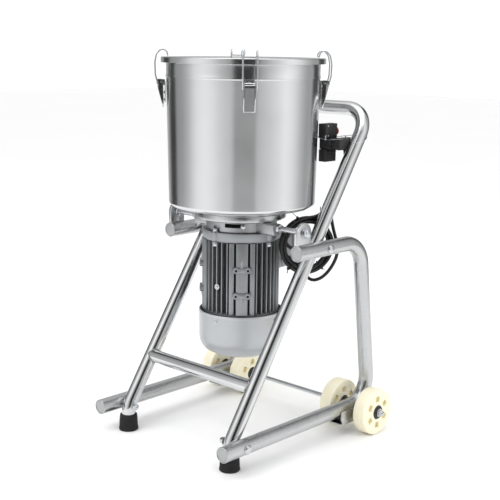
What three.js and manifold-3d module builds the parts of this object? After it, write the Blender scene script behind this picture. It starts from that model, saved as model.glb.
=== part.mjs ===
// A tilting drum grinder on a wheeled stand. Millimetres, +Z up, +X to the machine's left side, and the
// drum pours towards -Y. The drum's axis is the local Z axis until the whole model is centred at the end.
import * as THREE from "three";
import { mergeVertices } from "three/addons/utils/BufferGeometryUtils.js";
import Module from "manifold-3d";

const wasm = await Module();
wasm.setup();

// ---- Driving dimensions ----
const gap = 0.3; // between touching pieces
const legX = 164.5; // leg tube centreline
const legR = 16;
const railX = 198.1; // side rail centreline, outside the legs
const railR = 17;
const tubeWall = 1.8;
const tubeSides = 12;
const footY = -200; // the legs stand upright below the knee
const kneeZ = 55;
const handleY = 248.3; // the handle's cross tube
const handleZ = 737;
const handleBendR = 65;
const kneeBendR = 60;
const lowRailZ = 58.6;
const lowRailFrontY = -255.5;
const topRailZ = 445.4;
const topRailFrontY = -38.2;
const lowCornerY = 230.1; // where the column's line meets the lower rail's line
const topCornerY = 180.6;
const railBendR = 60;
const crossZ = 163.5; // front cross tube
const crossR = 15;
const boltR = 5;
const pivotY = -17.5;
const pivotZ = 489;
const pivotR = 6;
const lugHalf = 21.2;
const lugThick = 8;
const axleY = 184.4;
const axleZ = 53;
const axleR = 5;
const wheelR = 53;
const wheelHalf = 17;
const wheelOffset = 49; // each wheel of a pair from its rail
const hubHalf = 19.5;
const footHeight = 38;

const drumBottomZ = 527;
const drumBottomR = 163.6;
const drumTopR = 169.8;
const drumTopZ = 843;
const drumWall = 2;
const rimR = 176;
const lidR = 181;
const lidTopZ = 851;
const neckR = 80;
const neckTopZ = 497.7;
const neckBottomZ = 473;
const bossX = 125;
const motorTopZ = 472.6;
const motorFlangeZ = 452;
const motorBottomZ = 283;
const flangeR = 88;
const finR = 86.5;
const bodyR = 76;
const earR = 82.5; // flange bolt circle
const cowlR = 95.5;
const cowlTopZ = 286;
const cowlBottomZ = 186;
const shaftR = 12;

const latchAzimuths = [48, 138, 228, 318]; // degrees from -Y towards +X
const latchPivotR = 179;
const latchPivotZ = 797;
const bailPivotR = 187;
const bailPivotZ = 790;
const wireR = 1.5;

const cordR = 4;
const coilX = 129;
const coilY = 76;
const coilZ = 440;
const coilTurn = -27; // degrees about Z from the plane across X
const coilInnerR = 49.5;
const coilOuterR = 65.5;
const coilHalf = 8;
const tailX = -12.3; // from here to plugZ: in the coil's own turned frame
const tailR = 57;
const curlY = -11;
const curlZ = 460.2;
const curlR = 34;
const plugX = -28.5;
const plugZ = 426.2;

const switchX = 110;
const switchY = 164;
const armZ = 648.5;
const housingZ = 674;
const buttonZ = 688;
const outletX = 137;
const outletBackY = 218;
const powerLeadY = 197;
const motorLeadY = 209.5;
const glandLength = 14.3;

// ---- Finishes ----
const finishes = {
  polished: { color: "#d9dadb", roughness: 0.16, metalness: 1 },
  satin: { color: "#c3c4c5", roughness: 0.34, metalness: 1 },
  cast: { color: "#a3a5a6", roughness: 0.5, metalness: 0.9 },
  painted: { color: "#a4a6a7", roughness: 0.45, metalness: 0.3 },
  rubber: { color: "#1b1b1c", roughness: 0.8, metalness: 0 },
  plastic: { color: "#242425", roughness: 0.55, metalness: 0 },
  nylon: { color: "#ece3bf", roughness: 0.5, metalness: 0 },
  red: { color: "#c21f2b", roughness: 0.35, metalness: 0 },
  silicone: { color: "#e9e9e4", roughness: 0.6, metalness: 0 },
  copper: { color: "#8d5a34", roughness: 0.5, metalness: 0.6 },
  blade: { color: "#cfd1d3", roughness: 0.22, metalness: 1 },
};

// ---- Helpers ----
const vector = (x, y, z) => new THREE.Vector3(x, y, z);
const radians = THREE.MathUtils.degToRad;

function bare(geometry) {
  const copy = geometry.clone();
  copy.deleteAttribute("normal");
  copy.deleteAttribute("uv");
  return mergeVertices(copy, 1e-4);
}

function solid(geometry) {
  const merged = bare(geometry);
  return new wasm.Manifold(
    new wasm.Mesh({
      numProp: 3,
      vertProperties: merged.attributes.position.array,
      triVerts: new Uint32Array(merged.index.array),
    }),
  );
}

function geometryOf(made) {
  const mesh = made.getMesh();
  const geometry = new THREE.BufferGeometry();
  geometry.setAttribute("position", new THREE.BufferAttribute(mesh.vertProperties, 3));
  geometry.setIndex(new THREE.BufferAttribute(mesh.triVerts, 1));
  return geometry;
}

function cut(geometry, ...tools) {
  return geometryOf(tools.reduce((made, tool) => made.subtract(solid(tool)), solid(geometry)));
}

function join(geometry, ...others) {
  return geometryOf(others.reduce((made, other) => made.add(solid(other)), solid(geometry)));
}

function node(group, name, geometry, finish) {
  const mesh = new THREE.Mesh(geometry, new THREE.MeshStandardMaterial(finishes[finish]));
  mesh.name = name;
  group.add(mesh);
  return mesh;
}

// A body turned about Z, from [radius, height] points that run anticlockwise in the half plane.
function turned(points, segments = 32) {
  const profile = points.map(([r, z]) => new THREE.Vector2(r, z));
  if (points[0][0] > 0 || points.at(-1)[0] > 0) profile.push(profile[0].clone());
  return new THREE.LatheGeometry(profile, segments).rotateX(Math.PI / 2);
}

// The same, turned about an axis along X, with heights running towards +X.
const turnedX = (points, segments) => turned(points, segments).rotateY(Math.PI / 2);

function rod(radius, from, to, segments = 16) {
  const line = to.clone().sub(from);
  const geometry = new THREE.CylinderGeometry(radius, radius, line.length(), segments);
  const turn = new THREE.Quaternion().setFromUnitVectors(vector(0, 1, 0), line.clone().normalize());
  const middle = from.clone().add(to).multiplyScalar(0.5);
  return geometry.applyQuaternion(turn).translate(middle.x, middle.y, middle.z);
}

const rodX = (radius, x0, x1, y, z, segments) => rod(radius, vector(x0, y, z), vector(x1, y, z), segments);
const rodZ = (radius, z0, z1, x, y, segments) => rod(radius, vector(x, y, z0), vector(x, y, z1), segments);

function box(x0, x1, y0, y1, z0, z1) {
  const geometry = new THREE.BoxGeometry(x1 - x0, y1 - y0, z1 - z0);
  return geometry.translate((x0 + x1) / 2, (y0 + y1) / 2, (z0 + z1) / 2);
}

// A plate whose outline lies in the YZ plane, of the given thickness about x.
function plateX(outline, x, thickness, curveSegments = 6) {
  const settings = { depth: thickness, bevelEnabled: false, curveSegments };
  const geometry = new THREE.ExtrudeGeometry(outline, settings);
  return geometry.rotateY(Math.PI / 2).rotateX(Math.PI / 2).translate(x - thickness / 2, 0, 0);
}

// A path of straight runs joined by arcs: one sample at each end and a few along every bend.
class BentPath extends THREE.Curve {
  constructor(corners, bendRadius, perBend = 4) {
    super();
    this.samples = [];
    corners.forEach((corner, i) => {
      if (i === 0 || i === corners.length - 1) {
        this.samples.push(corner);
        return;
      }
      const back = corners[i - 1].clone().sub(corner).normalize();
      const ahead = corners[i + 1].clone().sub(corner).normalize();
      const half = back.angleTo(ahead) / 2;
      const radius = Array.isArray(bendRadius) ? bendRadius[i - 1] : bendRadius;
      const centre = back.clone().add(ahead).normalize().multiplyScalar(radius / Math.sin(half)).add(corner);
      const start = back.clone().multiplyScalar(radius / Math.tan(half)).add(corner).sub(centre);
      const end = ahead.clone().multiplyScalar(radius / Math.tan(half)).add(corner).sub(centre);
      const sweep = start.angleTo(end);
      const axis = start.clone().cross(end).normalize();
      for (let k = 0; k <= perBend; k += 1) {
        this.samples.push(start.clone().applyAxisAngle(axis, (sweep * k) / perBend).add(centre));
      }
    });
  }
  getPointAt(u) {
    const place = u * (this.samples.length - 1);
    const i = Math.min(Math.floor(place), this.samples.length - 2);
    return this.samples[i].clone().lerp(this.samples[i + 1], place - i);
  }
  getPoint(u) {
    return this.getPointAt(u);
  }
  getTangentAt(u) {
    const i = Math.round(u * (this.samples.length - 1));
    const before = this.samples[Math.max(i - 1, 0)];
    const here = this.samples[i];
    const after = this.samples[Math.min(i + 1, this.samples.length - 1)];
    const inward = here.clone().sub(before).normalize();
    return after.clone().sub(here).normalize().add(inward).normalize();
  }
}

function ring(radius, sides) {
  const points = Array.from({ length: sides }, (_, i) => {
    const angle = (2 * Math.PI * i) / sides;
    return new THREE.Vector2(radius * Math.cos(angle), radius * Math.sin(angle));
  });
  return points;
}

// A tube or wire along a path, hollow when it has a wall.
function swept(path, radius, sides, wall = 0) {
  const section = new THREE.Shape(ring(radius, sides));
  if (wall) section.holes.push(new THREE.Path(ring(radius - wall, sides / 2).reverse()));
  const steps = path.samples ? path.samples.length - 1 : Math.ceil(path.getLength() / (radius * 5));
  return new THREE.ExtrudeGeometry(section, { steps, bevelEnabled: false, extrudePath: path });
}

const legAxisAt = (z) => vector(legX, legYAt(z), z);
const legYAt = (z) => footY + ((handleY - footY) * (z - kneeZ)) / (handleZ - kneeZ);

// ---- Stand ----
function handleFrame() {
  const corners = [
    vector(legX, footY, 7),
    vector(legX, footY, kneeZ),
    vector(legX, handleY, handleZ),
    vector(-legX, handleY, handleZ),
    vector(-legX, footY, kneeZ),
    vector(-legX, footY, 7),
  ];
  const path = new BentPath(corners, [kneeBendR, handleBendR, handleBendR, kneeBendR]);
  const holes = [];
  for (const side of [-1, 1]) {
    for (const z of [lowRailZ, topRailZ]) {
      const inner = side * (legX - legR - 2);
      holes.push(rodX(boltR + 0.5, inner, side * (legX + legR + 2), legYAt(z), z, 8));
    }
  }
  return cut(swept(path, legR, tubeSides, tubeWall), ...holes);
}

function frontCrossbar() {
  const y = legYAt(crossZ);
  const path = new BentPath([vector(-legX, y, crossZ), vector(legX, y, crossZ)], 1);
  const copes = [-1, 1].map((side) => {
    const low = vector(side * legX, legYAt(crossZ - 60), crossZ - 60);
    const high = vector(side * legX, legYAt(crossZ + 60), crossZ + 60);
    return rod(legR + 2 * gap, low, high, 20);
  });
  return cut(swept(path, crossR, tubeSides, tubeWall), ...copes);
}

function foot() {
  const outline = [
    [0, 0], [21.5, 0], [22.5, 1.5], [20.2, 34], [18.5, footHeight], [legR + gap, footHeight],
    [legR + gap, 6.5], [0, 6.5],
  ];
  return turned(outline, 18);
}

function pivotLug(x) {
  const outline = new THREE.Shape();
  outline.moveTo(pivotY - lugHalf + 0.4, topRailZ + 6);
  outline.lineTo(pivotY + lugHalf, topRailZ + 6);
  outline.lineTo(pivotY + lugHalf, pivotZ);
  outline.absarc(pivotY, pivotZ, lugHalf, 0, Math.PI, false);
  outline.closePath();
  return plateX(outline, x, lugThick);
}

// The plate under the rail that stiffens it where the axle crosses.
function axleSaddle(x) {
  const outline = new THREE.Shape();
  outline.moveTo(axleY + 14, lowRailZ + 2);
  outline.lineTo(axleY - 76, lowRailZ + 2);
  outline.lineTo(axleY - 76, lowRailZ - 18);
  outline.quadraticCurveTo(axleY - 70, lowRailZ - 31, axleY - 54, lowRailZ - 31);
  outline.lineTo(axleY - 6, lowRailZ - 31);
  outline.quadraticCurveTo(axleY + 14, lowRailZ - 29, axleY + 14, lowRailZ - 12);
  outline.closePath();
  return plateX(outline, x, 2 * railR + 7, 4);
}

// One bent side tube with the pivot lug and the axle saddle welded on it.
function sideFrame(side) {
  const x = side * railX;
  const corners = [
    vector(x, lowRailFrontY, lowRailZ),
    vector(x, lowCornerY, lowRailZ),
    vector(x, topCornerY, topRailZ),
    vector(x, topRailFrontY, topRailZ),
  ];
  const tube = swept(new BentPath(corners, railBendR), railR, tubeSides, tubeWall);
  const through = (radius, y, z, sides) => rodX(radius, x - railR - 4, x + railR + 4, y, z, sides);
  const holes = [
    through(boltR + 0.5, legYAt(lowRailZ), lowRailZ, 8),
    through(boltR + 0.5, legYAt(topRailZ), topRailZ, 8),
    through(axleR + 0.4, axleY, axleZ, 10),
    through(pivotR + 0.35, pivotY, pivotZ, 24),
  ];
  const boreR = railR - tubeWall - 1;
  const topBore = rod(boreR, vector(x, topRailFrontY - 3, topRailZ), vector(x, 80, topRailZ), 8);
  const lowBore = rod(boreR, vector(x, lowRailFrontY - 3, lowRailZ), vector(x, 160, lowRailZ), 8);
  return cut(join(tube, pivotLug(x), axleSaddle(x)), topBore, lowBore, ...holes);
}

// A carriage bolt through rail and leg, with its acorn nut run up on the inside.
function frameBolt(side, z) {
  const outer = railX + railR + gap;
  const inner = legX - legR - gap;
  const outline = [
    [0, inner - 15], [4.5, inner - 14], [7, inner - 10], [8.2, inner - 8], [8.2, inner], [boltR, inner],
    [boltR, outer], [10, outer], [9, outer + 2.6], [5.5, outer + 4.6], [0, outer + 5.4],
  ];
  const bolt = turnedX(outline, 8);
  if (side < 0) bolt.rotateZ(Math.PI);
  return bolt.translate(0, legYAt(z), z);
}

// The through axle with its spacer collars and domed end nuts.
function wheelAxle() {
  const half = [];
  for (const centre of [railX - wheelOffset, railX + wheelOffset]) {
    const towards = centre < railX ? 1 : -1;
    const collar = [centre + towards * (hubHalf + gap), railX - towards * (railR + 3.9)];
    half.push(...collar.sort((a, b) => a - b).map((x, i) => [x, i]));
  }
  const end = railX + wheelOffset + hubHalf + gap;
  const outline = [[0, -end - 14]];
  const cap = [[3.8, end + 13.4], [7, end + 10], [8, end + 6], [8, end], [axleR, end]];
  const dome = (side) => cap.map(([r, x]) => [r, side * x]);
  const collars = half.flatMap(([x, i]) => (i === 0 ? [[axleR, x], [8, x]] : [[8, x], [axleR, x]]));
  outline.push(...dome(-1), ...collars.map(([r, x]) => [r, -x]).reverse());
  outline.push(...collars, ...dome(1).reverse(), [0, end + 14]);
  return turnedX(outline, 8).translate(0, axleY, axleZ);
}

// A moulded wheel about X: tread, web and the hub that runs on the axle.
function wheel(x) {
  const outline = [
    [axleR + 0.25, -hubHalf], [15.5, -hubHalf], [16.5, -wheelHalf + 2], [47, -wheelHalf + 2],
    [wheelR, -8.5], [wheelR, 8.5], [47, wheelHalf - 2], [16.5, wheelHalf - 2], [15.5, hubHalf],
    [axleR + 0.25, hubHalf],
  ];
  return turnedX(outline, 20).translate(x, axleY, axleZ);
}

// ---- Switch and leads ----
// An arm clamped to the leg, with an outlet block under which both leads leave.
function switchBracket() {
  const arm = box(switchX - 12, legX - 4, switchY - 15, switchY + 22, armZ, housingZ - gap);
  const outlet = box(124, 147.5, switchY, outletBackY, armZ, housingZ - gap);
  const band = rod(legR + 3, legAxisAt(armZ + 3), legAxisAt(housingZ - 3), 20);
  const hole = rod(legR + gap, legAxisAt(600), legAxisAt(710), 20);
  return join(cut(join(arm, outlet, band), hole), gland(motorLeadY, armZ));
}

function switchHousing() {
  const body = box(switchX - 11, switchX + 11, switchY - 20.5, switchY + 20.5, housingZ, 706);
  const bore = rod(8, vector(switchX, switchY + 12, buttonZ), vector(switchX, switchY + 22, buttonZ), 20);
  return cut(body, bore);
}

function stopButton() {
  const start = vector(switchX, switchY + 16.5, buttonZ);
  const stem = rod(7.6, start, vector(switchX, switchY + 24.8, buttonZ), 20);
  const head = turned([[0, 0], [9, 0], [10, 1.5], [8.5, 4.5], [4.5, 6.3], [0, 6.8]], 20);
  head.rotateX(-Math.PI / 2).translate(switchX, switchY + 24.7, buttonZ);
  return join(stem, head);
}

// A strain relief hanging from the outlet block.
function gland(y, z) {
  const outline = [[0, -1], [6, -1], [6, 5], [5.4, 7], [4.8, glandLength], [0, glandLength]];
  return turned(outline, 12).rotateX(Math.PI).translate(outletX, y, z);
}

function cableBox() {
  return box(switchX - 10, switchX + 10, switchY - 19, switchY + 19, 620.5, armZ - gap);
}

// Degrees count from the top, over the front, in a plane across X.
function aroundX(x, centreY, centreZ, radius, degrees) {
  const angle = radians(degrees);
  return vector(x, centreY - radius * Math.sin(angle), centreZ + radius * Math.cos(angle));
}

const powerLeadRoute = [
  vector(outletX, powerLeadY, 632.6), vector(outletX, powerLeadY, 628), vector(outletX, 188.4, 612),
  vector(outletX, 174, 590), vector(outletX, 159.5, 568), vector(137.4, 145, 546),
  vector(138.2, 131.6, 527), vector(139.6, 116.5, 513), vector(140.4, 98.3, 505.7),
];

// The cord's last turn lies beside the coil, then curls inwards to the plug.
function powerTailRoute() {
  const turns = [108, 128, 148, 168, 188, 208, 228, 248, 268, 288, 308, 328, 348, 368];
  const beside = turns.map((turn) => aroundX(tailX, 0, coilZ, tailR, turn));
  const curl = [28.6, 54, 80, 106, 132, 156, 180].map((turn, i) => {
    return aroundX(tailX - (i * (tailX - plugX)) / 7, curlY, curlZ, curlR, turn);
  });
  return [...beside, ...curl, vector(plugX + 0.3, 3, plugZ), vector(plugX, 11, plugZ)];
}

const motorLeadRoute = [
  vector(outletX, motorLeadY, 633.9), vector(outletX, motorLeadY, 629), vector(outletX, 202, 611),
  vector(outletX, 188, 590), vector(137, 174, 568), vector(137.5, 161, 546), vector(139, 150, 524),
  vector(144, 143, 498), vector(153, 141, 470), vector(162, 142, 443), vector(165.5, 141, 420),
  vector(161, 136, 397), vector(150, 126, 373), vector(136, 115, 358), vector(120, 108, 354),
  vector(103, 106, 362), vector(88, 109.5, 376), vector(73.4, 110, 383.2),
];

function lead(route, radius) {
  const curve = new THREE.CatmullRomCurve3(route, false, "centripetal");
  curve.arcLengthDivisions = 400;
  return swept(curve, radius, 8);
}

function powerCoil() {
  const corner = 3;
  const outline = [
    [coilInnerR + corner, -coilHalf], [coilOuterR - corner, -coilHalf], [coilOuterR, -coilHalf + corner],
    [coilOuterR, coilHalf - corner], [coilOuterR - corner, coilHalf], [coilInnerR + corner, coilHalf],
    [coilInnerR, coilHalf - corner], [coilInnerR, -coilHalf + corner],
  ];
  return turnedX(outline, 20).translate(0, 0, coilZ);
}

function powerPlug() {
  const start = 11.3;
  const outline = [[0, start], [5.5, start], [7.5, 29], [11.6, 35], [11.6, 65], [10, 67], [0, 67]];
  const body = turned(outline, 12);
  const pins = [[5, 4], [-5, 4], [0, -5.5]].map(([x, z]) => rodZ(1.9, 65, 83, x, z, 8));
  return join(body, ...pins).rotateX(-Math.PI / 2).translate(plugX, 0, plugZ);
}

// ---- Drum and motor ----
function drum() {
  const outline = [[23, drumBottomZ]];
  const corner = 8;
  for (let k = 0; k <= 3; k += 1) {
    const angle = -Math.PI / 2 + (k * Math.PI) / 6;
    outline.push([
      drumBottomR - corner + corner * Math.cos(angle),
      drumBottomZ + corner + corner * Math.sin(angle),
    ]);
  }
  outline.push([drumTopR, drumTopZ], [rimR, drumTopZ]);
  outline.push([rimR, drumTopZ + 3], [drumTopR - drumWall, drumTopZ + 3]);
  outline.push([drumBottomR - drumWall, drumBottomZ + corner]);
  outline.push([drumBottomR - 4.5, drumBottomZ + 4.5]);
  outline.push([drumBottomR - corner, drumBottomZ + 3], [23, drumBottomZ + 3]);
  return turned(outline, 32);
}

function lid() {
  const outline = [
    [0, lidTopZ - 2], [lidR - 2, lidTopZ - 2], [lidR - 2, 838.5], [lidR, 838.5], [lidR, lidTopZ - 1],
    [lidR - 1, lidTopZ], [0, lidTopZ],
  ];
  return turned(outline, 32);
}

const earPlaces = [[earR, 0], [-earR, 0], [0, earR], [0, -earR]];

// Clearance over the heads of the motor's flange bolts.
const neckScallops = () => earPlaces.map(([x, y]) => rodZ(9.5, 470, 487, x, y, 12));

function neck() {
  const tube = turned([[62, neckBottomZ], [neckR, neckBottomZ], [neckR, neckTopZ], [62, neckTopZ]], 28);
  const bosses = [-1, 1].map((side) => {
    const x = [side * 66, side * bossX].sort((a, b) => a - b);
    return box(x[0], x[1], pivotY - 13, pivotY + 13, neckBottomZ, neckTopZ);
  });
  const bores = [-1, 1].map((side) => rodX(pivotR + gap, side * 112, side * (bossX + 2), pivotY, pivotZ, 16));
  const window = box(-20, 20, -neckR - 4, -55, 484, 493).rotateZ(radians(31));
  return cut(join(tube, ...bosses), ...bores, ...neckScallops(), window);
}

// The shank that carries the drum unit: head outside the lug, nut against the neck's boss.
function pivotBolt(side) {
  const nut = bossX + gap;
  const head = railX + lugThick / 2 + 0.6;
  const outline = [
    [0, 113], [pivotR, 113], [pivotR, nut], [10, nut], [10, nut + 9], [pivotR, nut + 9],
    [pivotR, head], [12, head], [12, head + 1.6], [10, head + 1.6], [9, head + 8], [0, head + 8.5],
  ];
  const bolt = turnedX(outline, 12);
  if (side < 0) bolt.rotateZ(Math.PI);
  return bolt.translate(0, pivotY, pivotZ);
}

// The finned body: straight cooling fins, a mounting pad on each diagonal, ears for the flange bolts.
function motorHousing() {
  const fins = 22;
  const section = [];
  for (let i = 0; i < fins; i += 1) {
    const middle = (2 * Math.PI * (i + 0.5)) / fins;
    for (const [radius, offset] of [[bodyR, -0.066], [finR, -0.024], [finR, 0.024], [bodyR, 0.066]]) {
      const angle = middle + offset;
      section.push(new THREE.Vector2(radius * Math.cos(angle), radius * Math.sin(angle)));
    }
  }
  const settings = { depth: motorFlangeZ - motorBottomZ, bevelEnabled: false };
  const body = new THREE.ExtrudeGeometry(new THREE.Shape(section), settings);
  body.translate(0, 0, motorBottomZ);
  const flangeLow = motorFlangeZ - 2;
  const flange = turned([[0, flangeLow], [flangeR, flangeLow], [flangeR, motorTopZ], [0, motorTopZ]], 28);
  const pads = [45, -45, -135].map((turn) => {
    const pad = box(-18, 18, -finR - 3.5, -70, motorBottomZ + 4, motorFlangeZ - 1);
    return pad.rotateZ(radians(turn));
  });
  const feet = [45, -45, -135].flatMap((turn) =>
    [392, 334].map((z) => box(-15, 15, -94.5, -80, z - 7, z + 7).rotateZ(radians(turn))),
  );
  const ears = earPlaces.map(([x, y]) => rodZ(11, 450, motorTopZ, x, y, 10));
  const back = box(-48, 48, 60, 87, 374, 449);
  const hollow = rodZ(66, motorBottomZ - 5, 458, 0, 0, 32);
  const seat = rodZ(26.3, 450, motorTopZ + 5, 0, 0, 24);
  return cut(join(body, flange, ...pads, ...feet, ...ears, back), hollow, seat);
}

function lowerShield() {
  const outline = [
    [15, -12], [22, -12], [22, -3], [64, -3], [84, -10], [84, -gap], [65.5, -gap], [65.5, 6], [30, 6],
    [30, 14], [26.8, 14], [26.8, 1], [15, 1],
  ];
  return turned(outline, 16).translate(0, 0, motorBottomZ);
}

function fanCowl() {
  const wall = 1.6;
  const outline = [
    [64, cowlBottomZ], [84, cowlBottomZ + 12], [cowlR, cowlBottomZ + 36], [cowlR, cowlTopZ],
    [cowlR - wall, cowlTopZ], [cowlR - wall, cowlBottomZ + 36.6], [83, cowlBottomZ + 13.4],
    [63.4, cowlBottomZ + wall], [0, cowlBottomZ + wall], [0, cowlBottomZ],
  ];
  const slots = [];
  for (const y of [-40, -24, -8, 8, 24, 40]) {
    const half = Math.sqrt(52 ** 2 - y ** 2);
    slots.push(box(-half, half, y - 4, y + 4, cowlBottomZ - 3, cowlBottomZ + 5));
  }
  return cut(turned(outline, 28), ...slots);
}

function coolingFan() {
  const hub = turned([[shaftR - 2 + gap, 244], [20, 244], [20, 262], [shaftR - 2 + gap, 262]], 24);
  const disc = turned([[18, 258], [74, 258], [74, 261], [18, 261]], 28);
  const vanes = [0, 1, 2, 3, 4, 5].map((i) => box(19, 73, -1.2, 1.2, 226, 259).rotateZ((i * Math.PI) / 3));
  return join(hub, disc, ...vanes);
}

function stator() {
  return turned([[41, 296], [65.5, 296], [65.5, 440], [41, 440]], 20);
}

// The shaft with the squirrel-cage rotor pressed on it and the shoulder that the blades sit on.
function motorShaft() {
  const outline = [
    [0, 240], [shaftR - 2, 240], [shaftR - 2, 272], [shaftR, 272], [shaftR, 306], [40, 306], [40, 430],
    [shaftR, 430], [shaftR, 541], [24, 541], [24, 551], [9, 551], [9, 580.6], [0, 580.6],
  ];
  return turned(outline, 16);
}

function bearing(low) {
  const bore = shaftR + 0.25;
  return turned([[bore, low], [26, low], [26, low + 12], [bore, low + 12]], 16);
}

function shaftSeal() {
  const outline = [
    [shaftR + 0.25, 518], [34, 518], [34, 526.7], [22.7, 526.7], [22.7, 538], [shaftR + 0.25, 538],
  ];
  return turned(outline, 16);
}

// A two-armed blade with its tips cranked up or down.
function blade(low, reach, crank, turn) {
  const flat = reach * 0.62;
  const thick = 3.4;
  const outline = new THREE.Shape();
  outline.moveTo(-flat, -8);
  outline.lineTo(0, -22);
  outline.lineTo(flat, -8);
  outline.lineTo(flat, 8);
  outline.lineTo(0, 22);
  outline.lineTo(-flat, 8);
  outline.closePath();
  const plate = new THREE.ExtrudeGeometry(outline, { depth: thick, bevelEnabled: false });
  const tips = [0, 180].map((side) => {
    const tip = box(-1, (reach - flat) / Math.cos(crank), -8, 8, 0, thick);
    return tip.rotateY(-crank).translate(flat, 0, 0).rotateZ(radians(side));
  });
  const made = cut(join(plate, ...tips), rodZ(9.3, -5, 9, 0, 0, 16));
  return made.rotateZ(radians(turn)).translate(0, 0, low);
}

function bladeNut() {
  const outline = [[9.6, 571.1], [16, 571.1], [16, 584], [12, 589], [0, 591], [0, 581], [9.6, 581]];
  return turned(outline, 12);
}

const bladeSpacer = () => turned([[9.3, 555.1], [20, 555.1], [20, 567], [9.3, 567]], 24);

function terminalBox() {
  const shell = box(-48, 48, 87.3, 124, 374, 449);
  const inside = box(-44, 44, 92, 130, 378, 445);
  const wireHole = rodX(6, 40, 52, 110, 390, 12);
  return cut(join(shell, leadGland()), inside, wireHole);
}

function terminalLid() {
  const plate = box(-49, 49, 124.3, 129, 373, 450);
  const screws = [[-42, 380], [42, 380], [-42, 443], [42, 443]].map(([x, z]) =>
    rod(4, vector(x, 127, z), vector(x, 131, z), 8),
  );
  return join(plate, ...screws);
}

function leadGland() {
  const outline = [[0, 0], [9, 0], [9, 9], [7, 12], [4.8, glandLength], [0, glandLength]];
  return turned(outline, 12).rotateY(Math.PI / 2).rotateY(radians(14)).translate(47, 110, 390);
}

// ---- Latches, drawn on the -Y side: t across, r outwards, z up ----
const outward = (r) => -r;

function latchBase() {
  const plate = box(-13, 13, outward(172.4), outward(170.4), 752, 798);
  const ears = [-1, 1].map((side) => {
    const t = [side * 7.2, side * 9].sort((a, b) => a - b);
    return box(t[0], t[1], outward(183), outward(172), 789, 802);
  });
  const pin = rodX(2.2, -12, 12, outward(latchPivotR), latchPivotZ, 12);
  return cut(join(plate, ...ears), pin);
}

function wedge(outer, inner, half) {
  const outline = new THREE.Shape();
  outline.moveTo(outward(outer[0][0]), outer[0][1]);
  for (const [r, z] of [...outer.slice(1), ...inner]) outline.lineTo(outward(r), z);
  outline.closePath();
  return plateX(outline, 0, 2 * half);
}

// A pressed channel: its web faces outwards and its flanges straddle the base's ears.
function latchLever() {
  const outer = [[188.6, 802.5], [190.5, 796], [176.4, 742]];
  const shell = wedge(outer, [[174.3, 742], [175.2, 793], [177.5, 802.5]], 12.4);
  const inside = wedge([[188.4, 806], [188.4, 796], [176.6, 752]], [[170, 752], [170, 806]], 10.6);
  const pin = rodX(1.9, -11.5, 11.5, outward(latchPivotR), latchPivotZ, 10);
  const holes = rodX(wireR + 0.35, -14, 14, outward(bailPivotR), bailPivotZ, 10);
  return cut(join(cut(shell, inside), pin), holes);
}

// The wire bail: two legs from the lever's holes, over the lid's edge, joined by a cross bar.
function latchBail() {
  const half = 15.2;
  const leg = [
    [bailPivotR, bailPivotZ], [189.5, 850], [184, 865.5], [172, 867.5], [165.5, 853.6 + wireR],
  ];
  const side = (s) => leg.map(([r, z]) => vector(s * half, outward(r), z));
  const corners = [
    vector(11.2, outward(bailPivotR), bailPivotZ),
    ...side(1),
    ...side(-1).reverse(),
    vector(-11.2, outward(bailPivotR), bailPivotZ),
  ];
  const bends = [2.5, 8, 6, 5, 3.5, 3.5, 5, 6, 8, 2.5];
  return swept(new BentPath(corners, bends, 1), wireR, 6);
}

// ---- Assembly ----
const machine = new THREE.Group();
const sides = [["right", -1], ["left", 1]];

node(machine, "handle_frame", handleFrame(), "polished");
node(machine, "front_crossbar", frontCrossbar(), "polished");
for (const [name, side] of sides) {
  node(machine, name + "_side_frame", sideFrame(side), "satin");
  node(machine, name + "_foot", foot(), "rubber").position.set(side * legX, footY, 0);
  node(machine, name + "_lower_bolt", frameBolt(side, lowRailZ), "polished");
  node(machine, name + "_upper_bolt", frameBolt(side, topRailZ), "polished");
  node(machine, name + "_inner_wheel", wheel(side * (railX - wheelOffset)), "nylon");
  node(machine, name + "_outer_wheel", wheel(side * (railX + wheelOffset)), "nylon");
  node(machine, name + "_pivot_bolt", pivotBolt(side), "polished");
}
node(machine, "wheel_axle", wheelAxle(), "satin");

node(machine, "switch_bracket", switchBracket(), "plastic");
node(machine, "switch_housing", switchHousing(), "plastic");
node(machine, "stop_button", stopButton(), "red");
node(machine, "cable_box", cableBox(), "plastic");
node(machine, "cord_gland", gland(powerLeadY, armZ - 1 - gap), "rubber");
node(machine, "power_cord_lead", lead(powerLeadRoute, cordR), "rubber");
const hank = new THREE.Group();
hank.position.set(coilX, coilY, 0);
hank.rotation.z = radians(coilTurn);
machine.add(hank);
node(hank, "power_cord_coil", powerCoil(), "rubber");
node(hank, "power_cord_tail", lead(powerTailRoute(), cordR), "rubber");
node(hank, "power_plug", powerPlug(), "rubber");
node(machine, "motor_lead", lead(motorLeadRoute, cordR - 0.2), "rubber");

node(machine, "drum", drum(), "polished");
node(machine, "lid", lid(), "polished");
const gasket = turned([[169, drumTopZ + 3.4], [175, drumTopZ + 3.4], [175, 848.7], [169, 848.7]], 32);
node(machine, "lid_gasket", gasket, "silicone");
node(machine, "base_ring", turned([[36, 498], [100, 498], [100, 526.7], [36, 526.7]], 32), "satin");
node(machine, "neck", neck(), "cast");
node(machine, "motor_housing", motorHousing(), "cast");
node(machine, "lower_shield", lowerShield(), "cast");
node(machine, "stator", stator(), "copper");
node(machine, "fan_cowl", fanCowl(), "painted");
node(machine, "terminal_box", terminalBox(), "cast");
node(machine, "terminal_lid", terminalLid(), "cast");
node(machine, "upper_bearing", bearing(460), "satin");
node(machine, "lower_bearing", bearing(motorBottomZ + 1.3), "satin");
node(machine, "shaft_seal", shaftSeal(), "rubber");

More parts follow.
